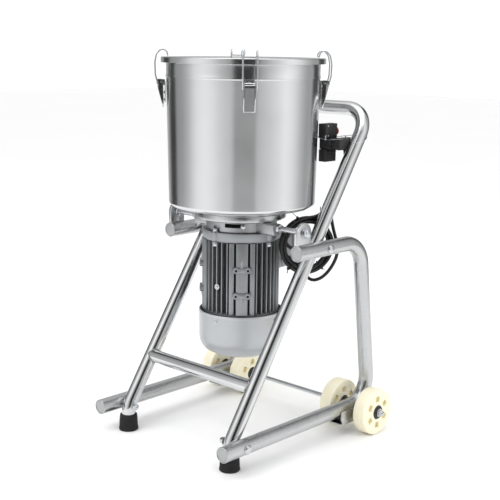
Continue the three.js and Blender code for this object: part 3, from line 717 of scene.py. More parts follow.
def endPlug(name, at, radius):
    # Push-in plastic plug: shallow dome inside the tube's lip.
    inner = radius - 2.4
    bm = turned([(0, -3), (inner, -3), (inner, 0.1), (radius - 3, 0.5), (radius * 0.5, 0.9), (0, 1)], 48)
    bmesh.ops.transform(bm, matrix=towards(at, (0, -1, 0)), verts=bm.verts)
    return made(name, bm, finishes["plugGrey"], slot="black_plastic")


def beadLoop(points, radius, name, closed=True):
    # A weld run by hand: a rope of small overlapping ripples.
    route = []
    for i, point in enumerate(points):
        route.append(Vector(point))
    taper = [1 + 0.22 * math.sin(i * 2.1) + random.uniform(-0.08, 0.08) for i in range(len(route))]
    return made(name, pipe(route, radius, 3, closed, taper), finishes["weld"], slot="satin_stainless")


def handleFrame():
    s = stand
    corners = []
    for side in (1, -1):
        run = [(side * s["legX"], s["footY"], 7), (side * s["legX"], s["footY"], s["kneeZ"]),
               (side * s["legX"], s["handleY"], s["handleZ"])]
        corners += run if side > 0 else list(reversed(run))
    route = bentRoute(corners, [60, 65, 65, 60], 18)
    made("handleTube", pipe(route, s["legR"], 12), finishes["brightTube"], stands=("handle_frame",),
         slot="polished_stainless")


def crossbar():
    s = stand
    y, z, r = legY(s["crossZ"]), s["crossZ"], s["crossR"]
    made("crossTube", pipe([(-s["legX"] + 8, y, z), (0, y, z), (s["legX"] - 8, y, z)], r, 12),
         finishes["brightTube"], stands=("front_crossbar",), slot="polished_stainless")
    lean = math.atan2(s["handleY"] - s["footY"], s["handleZ"] - s["kneeZ"])
    for name, side in sides.items():
        loop = []
        for k in range(44):
            a = 2 * math.pi * k / 44
            across = (r + 0.6) * math.sin(a - lean)
            reach = math.sqrt((s["legR"] + 0.4) ** 2 - across**2)
            beadR = r + 0.6
            loop.append((side * (s["legX"] - reach), y + beadR * math.sin(a), z + beadR * math.cos(a)))
        beadLoop(loop, 1.5, name + "CrossWeld")


def sideFrame(name, side):
    s = stand
    x = side * s["railX"]
    corners = [(x, s["lowFront"], s["lowZ"]), (x, s["lowCorner"], s["lowZ"]), (x, s["topCorner"], s["topZ"]),
               (x, s["topFront"], s["topZ"])]
    bm = pipe(bentRoute(corners, [60, 60], 18), s["railR"], 12)
    ends = [corners[0], corners[-1]]
    tubeEnds(bm, ends, (0, -1, 0), s["railR"])
    lug = []
    for y, z in ((s["pivotY"] + 20.8, s["topZ"] + 8), (s["pivotY"] + 21.2, s["pivotZ"])):
        lug.append((y, z))
    lug += [(s["pivotY"] + 21.2 * math.cos(a), s["pivotZ"] + 21.2 * math.sin(a))
            for a in [math.pi * k / 20 for k in range(1, 21)]]
    lug.append((s["pivotY"] - 20.5, s["topZ"] + 8))
    plate = drawn(lug, 8, 0.8)
    bmesh.ops.translate(plate, vec=(x - 4, 0, 0), verts=plate.verts)
    merged(bm, plate)
    y, z = s["axleY"], s["lowZ"]
    saddle = [(y + 14, z + 2), (y - 76, z + 2), (y - 76, z - 18), (y - 72, z - 27), (y - 62, z - 31),
              (y - 8, z - 31), (y + 6, z - 29), (y + 13, z - 21), (y + 14, z - 12)]
    for cheek in (-1, 1):
        plate = drawn(saddle, 3.2, 0.7)
        bmesh.ops.translate(plate, vec=(x + cheek * (s["railR"] + 1.9) - 1.6, 0, 0), verts=plate.verts)
        merged(bm, plate)
    merged(bm, block((x - 18, y - 76, z - 31), (x + 18, y + 6, z - 28), 0.8))
    made(name + "SideTube", bm, finishes["satinTube"], stands=(name + "_side_frame",),
         slot="satin_stainless")
    for place, end in zip(("Low", "Top"), ends):
        endPlug(name + place + "Plug", end, s["railR"])
    run = []
    for k in range(30):
        share = k / 29
        run.append((x + 4.6, s["pivotY"] - 19 + 38 * share, s["topZ"] + 16.6))
    for k in range(30):
        run.append((x - 4.6, s["pivotY"] + 19 - 38 * k / 29, s["topZ"] + 16.6))
    beadLoop(run, 1.6, name + "LugWeld")


def foot(name, side):
    profile = [(0, 0), (19.5, 0), (21.5, 0.6), (22.4, 2), (22.1, 6)]
    for z in (9, 14, 19, 24):
        profile += [(21.9 - z * 0.045, z), (21.1 - z * 0.045, z + 0.8), (21.1 - z * 0.045, z + 1.6),
                    (21.8 - z * 0.045, z + 2.4)]
    profile += [(20, 34), (19.4, 37), (18.4, 38), (16.1, 38), (15.6, 34), (0, 34)]
    bm = turned(profile, 48)
    bmesh.ops.translate(bm, vec=(side * stand["legX"], stand["footY"], 0), verts=bm.verts)
    made(name + "FootCap", bm, finishes["rubber"], stands=(name + "_foot",), slot="black_rubber")


def frameBolt(name, side, level, z):
    s = stand
    y = legY(z)
    outer, inner = s["railX"] + s["railR"], s["legX"] - s["legR"]
    head = turned([(0, 0), (10, 0)] + [(10 * math.cos(a), 0.6 + 4.6 * math.sin(a)) for a in
                                       [math.pi / 2 * k / 8 for k in range(8)]] + [(0, 5.2)], 32)
    bmesh.ops.transform(head, matrix=towards((side * outer, y, z), (side, 0, 0)), verts=head.verts)
    nut = hexNut(13, 8, domed=6)
    bmesh.ops.transform(nut, matrix=towards((side * (inner - 1.4), y, z), (-side, 0, 0)), verts=nut.verts)
    washer = turned([(5.2, 0), (9.5, 0), (9.5, 1.4), (5.2, 1.4)], 32)
    bmesh.ops.transform(washer, matrix=towards((side * inner, y, z), (-side, 0, 0)), verts=washer.verts)
    shank = rodBetween((side * (inner - 2), y, z), (side * outer, y, z), 5)
    for part in (nut, washer, shank):
        merged(head, part)
    made(f"{name}{level}Bolt", head, finishes["zinc"], stands=(f"{name}_{level.lower()}_bolt",),
         slot="polished_stainless")


wheelSize = {"r": 53, "half": 17, "hubHalf": 19.5, "offset": 49, "pockets": 6, "pocketR": 30}


def wheelBody(name, x, body, node):
    w = wheelSize
    outer = [(47.5, -w["half"] + 1.2)] + arc(49.5, -12.5, 3.5, -80, -20, 5)
    outer += [(52.8, -6), (w["r"], -0.6), (w["r"] + 0.12, 0)]
    half = [(16, -w["half"] + 1), (17, -w["half"] + 0.4), (24, -w["half"] + 1.6), (40, -w["half"] + 1.6),
            (44, -w["half"] + 0.6)] + outer
    profile = half + [(r, -z) for r, z in reversed(half[:-1])]
    wheel = turned(profile, 96)
    tool = bmesh.new()
    for face in (-1, 1):
        for k in range(w["pockets"]):
            turn = Matrix.Rotation(2 * math.pi * k / w["pockets"], 4, "Z")
            low, high = (face * 6, face * 22) if face > 0 else (face * 22, face * 6)
            pocket = block((w["pocketR"] - 6.4, -7, low), (w["pocketR"] + 7.4, 7, high), 2.2, 3)
            merged(tool, pocket, turn)
    wheel = cutWith(wheel, tool)
    bmesh.ops.transform(
        wheel,
        matrix=Matrix.Translation((x, stand["axleY"], stand["axleZ"])) @ Matrix.Rotation(math.pi / 2, 4,
        "Y"),
        verts=wheel.verts,
    )
    made(name, wheel, finishes["nylon"], body, (node,), "ivory_nylon")
    # Slabs on the pocket floors in the darker yellow nylon: painted shade in the pockets.
    core = bmesh.new()
    for face in (-1, 1):
        for k in range(w["pockets"]):
            turn = Matrix.Rotation(2 * math.pi * k / w["pockets"], 4, "Z")
            z = sorted((face * 5.6, face * 9.5))
            cell = block((w["pocketR"] - 6.3, -6.9, z[0]), (w["pocketR"] + 7.3, 6.9, z[1]), 0.8, 2)
            merged(core, cell, turn)
    alongX(core, (x, stand["axleY"], stand["axleZ"]))
    made(name + "Pockets", core, finishes["nylonPocketShade"], body, slot="ivory_nylon")
    hub = turned([(5.2, -19.4), (12.5, -19.4), (14.6, -18.6), (15.6, -16.5), (15.6, 16.5), (14.6, 18.6),
                  (12.5, 19.4), (5.2, 19.4)], 40)
    alongX(hub, (x, stand["axleY"], stand["axleZ"]))
    made(name + "Hub", hub, finishes["abs"], body, slot="black_rubber")


def wheelAxle():
    s, w = stand, wheelSize
    end = s["railX"] + w["offset"] + w["hubHalf"] + 0.3
    bm = rodBetween((-end, s["axleY"], s["axleZ"]), (end, s["axleY"], s["axleZ"]), 5, 24)
    for side in (-1, 1):
        for inner, outer in ((s["railX"] + 20.9, s["railX"] + 29.2), (s["railX"] - 29.2, s["railX"] - 20.9)):
            collar = turned([(5, inner), (8, inner), (8, outer), (5, outer)], 28)
            rounded(collar, 0.5, 2)
            across = Matrix.Rotation(side * math.pi / 2, 4, "Y")
            bmesh.ops.transform(collar, matrix=across, verts=collar.verts)
            bmesh.ops.translate(collar, vec=(0, s["axleY"], s["axleZ"]), verts=collar.verts)
            merged(bm, collar)
        washer = turned([(5, 0), (9.5, 0), (9.5, 1.5), (5, 1.5)], 32)
        merged(bm, washer, towards((side * end, s["axleY"], s["axleZ"]), (side, 0, 0)))
        nut = hexNut(14, 6.5, domed=6)
        merged(bm, nut, towards((side * (end + 1.5), s["axleY"], s["axleZ"]), (side, 0, 0)))
    made("axleRod", bm, finishes["zinc"], stands=("wheel_axle",), slot="satin_stainless")


handleFrame()
crossbar()
for name, side in sides.items():
    sideFrame(name, side)
    foot(name, side)
    frameBolt(name, side, "Lower", stand["lowZ"])
    frameBolt(name, side, "Upper", stand["topZ"])
    for place, shift in (("Inner", -1), ("Outer", 1)):
        x = side * (stand["railX"] + shift * wheelSize["offset"])
        node = f"{name}_{place.lower()}_wheel"
        wheelBody(name + place + "Wheel", x, node + "_body", node)
wheelAxle()
print("stand ready")

# ---- Switch and cable box ----
switch = {"x": 110, "y": 164, "button": 688}


def switchGear():
    x, y = switch["x"], switch["y"]
    # Clamp round the leg with its arm, cut to the leg, and two screws.
    low, high = outlets["z"], 673.7
    arm = block((x - 12, y - 15, low), (x + 20.5, y + 22, high), 1.2, 3)
    merged(arm, block((x + 20, y - 14.4, low + 0.6), (stand["legX"] - 8, y + 21.4, high - 0.6), 1.2, 3))
    merged(arm, block((124, y, low + 0.2), (147.5, 218, high - 0.2), 1.4, 3))
    tool = rodBetween((stand["legX"], legY(600), 600), (stand["legX"], legY(710), 710), 16.2, 48)
    arm = cutWith(arm, tool)
    for z in (655, 667):
        ear = slottedScrew(2.6, 2)
        merged(arm, ear, towards((x + 18, y - 15, z), (0, -1, 0)))
    made("switchClamp", arm, finishes["abs"], stands=("switch_bracket",), slot="black_plastic")
    # Switch block: shell in two halves with a parting groove, cover screws, collar round the button.
    shell = block((x - 11, y - 20.5, 674), (x + 11, y + 8.6, 706), 1.3, 3)
    merged(shell, block((x - 10.4, y + 8, 674.6), (x + 10.4, y + 10, 705.4), 0.2, 1))
    front = block((x - 11, y + 9.4, 674), (x + 11, y + 20.5, 706), 1.3, 3)
    bore = rodBetween((x, y + 12, switch["button"]), (x, y + 24, switch["button"]), 8, 40)
    merged(shell, cutWith(front, bore))
    made("switchShell", shell, finishes["abs"], stands=("switch_housing",), slot="black_plastic")
    screws = bmesh.new()
    for z in (677.5, 702.5):
        for shift in (-7, 7):
            merged(screws, slottedScrew(1.7, 1.1), towards((x + shift, y + 20.3, z), (0, 1, 0)))
    for z in (679, 701):
        merged(screws, slottedScrew(2.1, 1.2), towards((x + 10.8, y - 12, z), (1, 0, 0)))
    made("switchScrews", screws, finishes["zinc"], slot="black_plastic")
    # Mushroom cap: sprung stem, domed top with a worn rim.
    cap = turned([(0, -8), (7.6, -8), (7.6, 0), (9, 0), (9.9, 0.7), (10, 1.6), (9.3, 3.6), (7.6, 5.2),
                 (4.4, 6.4),
                  (0, 6.8)], 48)
    rounded(cap, 0.3, 2, 40)
    bmesh.ops.transform(cap, matrix=towards((x, y + 24.7, switch["button"]), (0, 1, 0)), verts=cap.verts)
    made("stopCap", cap, finishes["redCap"], "stop_button_body", ("stop_button",), "red_plastic")
    # Lower box where both leads come out.
    lower = block((x - 10, y - 19, 620.5), (x + 10, y + 19, 648.2), 1.2, 3)
    lid = block((x - 10.4, y - 19.4, 641), (x + 10.4, y + 19.4, 642.6), 0.4, 1)
    merged(lower, lid)
    made("cableShell", lower, finishes["abs"], stands=("cable_box",), slot="black_plastic")
    at = (outlets["x"], outlets["motor"], outlets["z"] + 1)
    strainRelief("motorLeadGland", at, (0, 0, -1), outlets["length"] + 1, (), 6)
    # One galvanised wire binds the blocks to the leg, its ends twisted off.
    leg = lambda turn, z: (
        stand["legX"] + 17.2 * math.cos(math.radians(turn)), legY(z) + 20 * math.sin(math.radians(turn)), z
    )
    wire = [leg(200, 668), leg(235, 667), leg(275, 666), leg(310, 665), leg(345, 667), leg(20, 672),
            leg(60, 677),
            leg(100, 680), leg(140, 681), leg(175, 680)]
    wire += [(140, 190, 679), (122, 188, 676), (98, 186, 676), (97.6, 150, 676), (98.4, 142.4, 675.2),
             (110, 142, 673.4), (121.8, 142.2, 671), (123.4, 148, 670.4), (132, 147.6, 671.4),
             (141, 148.6, 672.6),
             (147, 162, 673), (149.4, 178, 672)]
    ties = pipe(smoothed(wire, 5), 0.75, 2)
    for at, lean, size in (((121.8, 141.6, 672), (0.2, -0.2, 1), 9), ((149.6, 182, 674), (-0.35, -0.3, 1),
                           7)):
        twist = []
        for k in range(40):
            a = 1.1 * k
            twist.append((0.9 * math.cos(a), 0.9 * math.sin(a), size * k / 39))
        merged(ties, pipe(twist, 0.7, 2), towards(at, lean))
        mirrored = [(-x2, -y2, z2) for x2, y2, z2 in twist]
        merged(ties, pipe(mirrored, 0.7, 2), towards(at, lean))
    made("wireTies", ties, finishes["zinc"], slot="satin_stainless")


def smoothed(places, steps):
    # A rounded line through the places.
    points = [Vector(place) for place in places]
    curve = []
    for i in range(len(points) - 1):
        before = points[max(i - 1, 0)]
        after = points[min(i + 2, len(points) - 1)]
        start, end = points[i], points[i + 1]
        for k in range(steps):
            t = k / steps
            bendIn, bendOut = (end - before) / 2, (after - start) / 2
            curve.append(
                start * (2 * t**3 - 3 * t**2 + 1) + bendIn * (t**3 - 2 * t**2 + t)
                + end * (3 * t**2 - 2 * t**3) + bendOut * (t**3 - t**2)
            )
    curve.append(points[-1])
    return curve


def motorLead():
    curve = smoothed(motorRoute, 6)
    bm = pipe(curve, 3.8, 5)
    bmesh.ops.transform(bm, matrix=toFrame, verts=bm.verts)
    mesh = bpy.data.meshes.new("motorLead")
    bm.to_mesh(mesh)
    bm.free()
    mesh.shade_smooth()
    mesh.materials.append(finishes["sheath"])
    piece = bpy.data.objects.new("motorLead", mesh)
    scene.collection.objects.link(piece)
    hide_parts("motor_lead")
    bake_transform(piece)


switchGear()
motorLead()
print("switch and leads ready")

# ---- Drum and lid ----
def drumShell():
    bottom, top = 527, 843
    lowR, highR, wall, corner = 163.6, 169.8, 2, 8
    profile = [(23, bottom)] + arc(lowR - corner, bottom + corner, corner, -90, 0, 8)
    at = lambda z: lowR + (highR - lowR) * (z - bottom) / (top - bottom)
    # Stiffening bead under the rim.
    profile += [(at(808), 805.5), (at(808) + 0.9, 808), (at(810) + 1.3, 810.5), (at(812) + 0.9, 813),
                (at(815), 815.5)]
    profile += [(highR, top - 2), (highR + 0.8, top - 0.5), (highR + 2.2, top)]
    profile += [(174.6, top)] + arc(174.6, top + 1.4, 1.4, -90, 90, 6) + [(highR - 0.5, top + 2.9)]
    inner = [(highR - wall + 0.2, top + 2.4), (highR - wall - 0.3, top + 1)]
    inner += [(at(815) - wall, 815.5), (at(810) - wall + 1.1, 810.5), (at(805) - wall, 805.5)]
    inner += [(lowR - wall, bottom + corner + 3)]
    inner += [(r, z) for r, z in reversed(arc(lowR - wall - 9, bottom + 12, 9, -90, -5, 8))]
    inner += [(23, bottom + 3)]
    made("drumShell", turned(profile + inner, 128), finishes["drumSheet"], "drum_unit", ("drum",),
         "polished_stainless", 40)


def lidPan():
    r, top = 181, 851
    profile = [(0, top - 5.4), (150, top - 5.4), (160, top - 5), (168, top - 2.4), (172, top - 2)]
    profile += [(r - 2.4, top - 2), (r - 1.6, top - 2.6), (r - 1.6, 839.4), (r - 1, 838.6), (r - 0.1, 839),
                (r, 840)]
    profile += arc(r - 2.2, top - 2.2, 2.2, 0, 90, 6)
    profile += [(172, top), (168, top - 0.4), (160, top - 3), (150, top - 3.4), (60, top - 3.4),
                (56, top - 2.2),
                (52, top - 2), (0, top - 2)]
    made("lidPan", turned(profile, 128), finishes["drumSheet"], "lid_body", ("lid",),
         "polished_stainless", 40)
    seal = turned([(168.8, 846.3), (175.2, 846.3), (175.2, 847.4), (174, 848.4), (170, 848.4),
                  (168.8, 847.4)], 96)
    made("lidSeal", seal, finishes["silicone"], "lid_body", ("lid_gasket",), "silicone")


def baseRing():
    profile = [(36, 498), (97.5, 498), (100, 500), (100, 512), (98.6, 513), (98.6, 516), (100, 517),
               (100, 524),
               (103, 526.7), (36, 526.7)]
    made("baseRingTurned", rounded(turned(profile, 96), 0.6), finishes["turnedSteel"], "drum_unit",
         ("base_ring",), "satin_stainless")
    # Rolled joint where the drum's bottom plate meets the ring.
    plate = turned([(96, 522.5), (150, 524.2), (155, 525.2), (156.5, 526.9), (150, 526.9), (96, 526.9)], 112)
    made("drumUnderPlate", plate, finishes["turnedSteel"], "drum_unit", slot="satin_stainless")


def neckCasting():
    low, high, r = 473, 497.7, 80
    body = turned([(62, low), (r - 1.5, low), (r, low + 1.5), (r, high - 3), (r + 2.2, high - 1.6),
                  (r + 2.2, high),
                   (62, high)], 96)
    for side in (-1, 1):
        x = sorted((side * 70, side * 125))
        boss = block((x[0], -30.5, low), (x[1], -4.5, high), 4, 3)
        merged(body, boss)
    tool = bmesh.new()
    for x, y in ((82.5, 0), (-82.5, 0), (0, 82.5), (0, -82.5)):
        merged(tool, rodBetween((x, y, 470), (x, y, 487), 9.8, 40))
    slot = block((-20, -r - 6, 484.5), (20, -58, 493.5), 1.2, 2)
    merged(tool, slot, Matrix.Rotation(math.radians(31), 4, "Z"))
    made("neckBody", cutWith(body, tool), finishes["neckCasting"], "drum_unit", ("neck",),
         "cast_aluminium", 38)
    # Blind wall behind the window in the unlit finish, painted shade seen through the window, and the set
    # screw beside it.
    back = turned([(58, low + 0.4), (64, low + 0.4), (64, high - 0.4), (58, high - 0.4)], 64)
    made("neckWindowShade", back, finishes["darkBore"], "drum_unit", slot="cast_aluminium")
    screw = hexNut(10, 5, hole=2.4)
    a = math.radians(46)
    out = Vector((math.sin(a), -math.cos(a), 0))
    towardsPart(screw, out * (r - 0.8) + Vector((0, 0, stand["pivotZ"])), out)
    made("neckSetScrew", screw, finishes["zinc"], "drum_unit", slot="satin_stainless")


def towardsPart(bm, at, direction):
    bmesh.ops.transform(bm, matrix=towards(at, direction), verts=bm.verts)
    return bm


def pivotBolt(name, side):
    s = stand
    nutX, lugX = 125.3, s["railX"] + 4.3
    at = lambda x: Vector((side * x, s["pivotY"], s["pivotZ"]))
    bm = rodBetween(at(113), at(lugX + 6), 6, 32, 0.6)
    # Rolled thread on the stretch between nut and lug.
    merged(bm, turned(threadProfile(6, nutX + 9, s["railX"] - 12), 24), turnSide(side, s))
    merged(bm, hexNut(18, 9, hole=0), towards(at(nutX), (side, 0, 0)))
    merged(bm, hexNut(18, 6.5), towards(at(s["railX"] - 11.2), (side, 0, 0)))
    merged(bm, turned([(6, 0), (12.4, 0), (12.4, 1.7), (6, 1.7)], 36), towards(at(lugX), (side, 0, 0)))
    merged(bm, hexNut(18, 7.5, domed=2), towards(at(lugX + 1.7), (side, 0, 0)))
    made(name + "PivotScrew", bm, finishes["zinc"], "drum_unit", (name + "_pivot_bolt",),
         "polished_stainless")


def turnSide(side, s):
    return Matrix.Translation((0, s["pivotY"], s["pivotZ"])) @ Matrix.Rotation(side * math.pi / 2, 4, "Y")


def threadProfile(radius, start, end, pitch=1.75):
    profile = [(radius - 1, start)]
    count = int((end - start) / pitch)
    for k in range(count):
        z = start + k * pitch
        profile += [(radius - 0.5, z), (radius + 0.15, z + pitch / 2)]
    return profile + [(radius - 0.5, start + count * pitch), (radius - 1, start + count * pitch)]


drumShell()
lidPan()
baseRing()
neckCasting()
for name, side in sides.items():
    pivotBolt(name, side)
print("drum ready")

# ---- Motor ----
motor = {
    "core": 76, "fin": 86.5, "low": 283, "high": 452, "top": 472.6, "flange": 88, "earR": 82.5,
    "finPitch": 9.0, "finThick": 2.7, "padTurns": (45, -45, -135), "bossZ": (392, 334), "bossGap": 13.2,
}


def roundZ(turn):
    return Matrix.Rotation(math.radians(turn), 4, "Z")


def motorBody():
    m = motor
    # Core wall behind the fins in the dark finish: painted shade in the gaps between the fins.
    wall = turned([(67, m["low"] + 4), (m["core"] + 0.3, m["low"] + 4), (m["core"] + 0.3, m["high"] - 1),
                   (67, m["high"] - 1)], 96)
    made("motorWall", wall, finishes["finWall"], "drum_unit", slot="cast_aluminium")
    bm = turned([(66, m["low"]), (m["core"], m["low"]), (m["core"], m["high"] - 2),
                (m["flange"] - 5, m["high"] - 2),
                 (m["flange"] - 2, m["high"]), (m["flange"], m["high"] + 3), (m["flange"], m["top"] - 1.2),
                 (m["flange"] - 1.2, m["top"]), (30, m["top"]), (30, m["top"] - 8), (66, m["top"] - 12)], 96)
    rounded(bm, 0.8, 2, 50)
    # Lower spigot band that the cowl slides over.
    low = m["low"]
    merged(bm, turned([(66, low), (84.5, low), (84.5, low + 5), (78, low + 8), (66, low + 8)], 96))
    for k in range(40):
        turn = m["finPitch"] * (k + 0.5)
        away = min(abs((turn - pad + 180) % 360 - 180) for pad in m["padTurns"])
        behind = abs((turn - 180 + 180) % 360 - 180)
        if away < 19.5 or behind < 33:
            continue
        half = m["finThick"] / 2
        fin = block((-half, -m["fin"], m["low"] + 4), (half, -m["core"] + 4, m["high"] - 1.5), 0.9, 2)
        merged(bm, fin, roundZ(turn))
    for turn in m["padTurns"]:
        pad = bmesh.new()
        # Middle rail and a smooth strip at each side, with gaps between that show the painted shade of the
        # dark wall.
        merged(pad, block((-13, -m["fin"] - 2.2, m["low"] + 5), (13, -m["core"] + 6, m["high"] - 1), 1.4, 3))
        for side in (-1, 1):
            x = sorted((side * 17.6, side * 28.5))
            merged(pad, block((x[0], -m["fin"] + 1.5, m["low"] + 5),
                   (x[1], -m["core"] + 8, m["high"] - 1), 1.2, 2))
        for z, way in zip(m["bossZ"], (1, -1)):
            merged(pad, block((-15, -m["fin"] - 6.4, z - 5.5), (15, -m["core"], z + 5.5), 1.6, 2))
            for side in (-1, 1):
                at = (side * m["bossGap"], -m["fin"] - 2, z)
                eye = turned([(2.3, 3), (6.2, 3), (6.8, 4), (6.8, 9.2), (6.1, 10), (2.9, 10), (2.3, 9.4)],
                             32)
                merged(pad, eye, towards((at[0], -m["fin"] + 2, z), (0, -1, 0)))
                merged(pad, rodBetween((at[0], -m["core"], z), (at[0], -m["fin"] - 1.8, z), 6.8, 32))
            # Cast arrow gusset running into the bosses.
            foot = z + way * 5
            gusset = bmesh.new()
            tip = [(0, -m["fin"] - 1.9, foot + way * 22), (-6.6, -m["fin"] - 1.9, foot),
                   (6.6, -m["fin"] - 1.9, foot),
                   (0, -m["fin"] - 6, foot)]
            corners = [gusset.verts.new(p) for p in tip]
            for trio in ((0, 1, 3), (0, 3, 2), (0, 2, 1), (1, 2, 3)):
                gusset.faces.new([corners[i] for i in trio])
            bmesh.ops.recalc_face_normals(gusset, faces=gusset.faces)
            rounded(gusset, 0.5, 2, 20)
            merged(pad, gusset)
        merged(bm, pad, roundZ(turn))
    # Ears under the flange bolts, drawn down to a point between the fins.
    for turn in (0, 90, 180, 270):
        ear = turned([(0, 446), (3, 446), (8.5, 453), (11, 457), (11, m["top"] - 1), (10, m["top"]),
                     (0, m["top"])], 40)
        bmesh.ops.translate(ear, vec=(0, -m["earR"], 0), verts=ear.verts)
        merged(bm, ear, roundZ(turn))
    merged(bm, block((-47, 60, 374), (47, 87, 449), 2, 2))
    made("motorCasting", bm, finishes["castAluminium"], "drum_unit", ("motor_housing",), "cast_aluminium",
         36)
    # Dark discs in the unlit finish inside the boss holes: painted shade.
    dark = bmesh.new()
    for turn in m["padTurns"]:
        for z in m["bossZ"]:
            for side in (-1, 1):
                at = (side * m["bossGap"], -m["fin"] - 7.4, z)
                hole = turned([(0, 0), (2.4, 0), (2.4, 0.6), (0, 0.6)], 20)
                merged(dark, hole, roundZ(turn) @ towards(at, (0, -1, 0)))
    made("bossHoles", dark, finishes["darkBore"], "drum_unit", slot="cast_aluminium")


def flangeBolts():
    bm = bmesh.new()
    for turn in (0, 90, 180, 270):
        for z, way in ((473, 1), (450, -1)):
            at = Vector((0, -motor["earR"], z))
            part = turned([(0, 0), (8.6, 0), (8.6, 1.4), (0, 1.4)], 32)
            nut = hexNut(12.6, 6.5 if way > 0 else 7, domed=0 if way > 0 else 2.2)
            merged(part, nut, towards((0, 0, 1.4), (0, 0, 1)))
            merged(bm, part, roundZ(turn) @ towards(at, (0, 0, way)))
    made("flangeBolts", bm, finishes["zinc"], "drum_unit", slot="satin_stainless")


def earthPoint():
    # Earth screw and washer on the near fins.
    a = math.radians(6)
    out = Vector((math.sin(a), -math.cos(a), 0))
    bm = turned([(2.6, 0), (6.4, 0), (6.4, 1.2), (2.6, 1.2)], 32)
    merged(bm, slottedScrew(3.4, 2.2), towards((0, 0, 1.0), (0, 0, 1)))
    towardsPart(bm, out * (motor["fin"] - 0.4) + Vector((0, 0, 350)), out)
    made("earthScrew", bm, finishes["zinc"], "drum_unit", slot="satin_stainless")


def cowl():
    low, top, r = 186, 286, 95.5
    profile = [(62, low), (66, low + 0.4)]
    profile += [(84, low + 10.5), (90, low + 18), (93.8, low + 27), (r, low + 38)]
    profile += [(r, top - 7), (r + 0.7, top - 6), (r + 0.7, top - 1), (r, top), (r - 1.6, top),
                (r - 1.6, low + 38)]
    profile += [(92, low + 27.6), (88.4, low + 19.2), (82.8, low + 12.2), (65.4, low + 2), (0, low + 2),
                (0, low)]
    shell = turned(profile, 112)
    tool = bmesh.new()
    for ring, count, size in ((14, 6, 7), (27, 12, 7), (40, 18, 7), (53, 24, 7)):
        for k in range(count):
            a = 2 * math.pi * k / count
            merged(tool, rodBetween((ring * math.cos(a), ring * math.sin(a), low - 3),
                                    (ring * math.cos(a), ring * math.sin(a), low + 5), size / 2, 14))
    made("fanCowl", cutWith(shell, tool), finishes["cowlEnamel"], "drum_unit", ("fan_cowl",),
         "cowl_paint", 38)
    screws = bmesh.new()
    for turn in (0, 90, 180, 270):
        part = slottedScrew(4, 2.4)
        merged(part, turned([(0, -0.4), (5.4, -0.4), (5.4, 0.5), (0, 0.5)], 28))
        merged(screws, part, roundZ(turn + 8) @ towards((0, -r - 0.2, top - 14), (0, -1, 0)))
    made("cowlScrews", screws, finishes["zinc"], "drum_unit", slot="satin_stainless")


def terminalBox():
    shell = block((-48, 87.2, 374), (48, 124, 449), 5, 3)
    merged(shell, block((-48.6, 121.6, 373.4), (48.6, 124.2, 449.6), 0.8, 2))
    gland = turned([(0, 0), (9, 0), (9.6, 0.8), (9.6, 6), (9, 6.6), (9, 9), (7.4, 11), (6.4, 16), (5.2, 24),
                    (4.6, 26), (0, 26)], 36)
    tilt = Vector((math.cos(math.radians(14)), 0, -math.sin(math.radians(14))))
    towardsPart(gland, (47, 110, 390), tilt)
    made("terminalShell", shell, finishes["castAluminium"], "drum_unit", ("terminal_box",), "cast_aluminium")
    made("terminalGland", gland, finishes["abs"], "drum_unit", slot="cast_aluminium")
    lid = block((-49, 124.3, 373), (49, 129, 450), 1.6, 3)
    merged(lid, block((-38, 128.4, 384), (38, 129.9, 439), 0.7, 2))
    made("terminalCover", lid, finishes["castAluminium"], "drum_unit", ("terminal_lid",), "cast_aluminium")
    screws = bmesh.new()
    for x in (-42, 42):
        for z in (380, 443):
            merged(screws, slottedScrew(3.6, 2.2), towards((x, 128.9, z), (0, 1, 0)))
    made("coverScrews", screws, finishes["zinc"], "drum_unit", slot="satin_stainless")


def lowerShield():
    profile = [(15, -12), (22, -12), (22, -4), (64, -4), (82, -10), (84, -9), (84, -0.4), (65.5, -0.4),
               (65.5, 6),
               (30, 6), (30, 14), (26.8, 14), (26.8, 1), (15, 1)]
    bm = turned([(r, z + motor["low"]) for r, z in profile], 72)
    made("endShield", rounded(bm, 0.6), finishes["castAluminium"], "drum_unit", ("lower_shield",),
         "cast_aluminium")


motorBody()
flangeBolts()
earthPoint()
cowl()
terminalBox()
lowerShield()
print("motor ready")

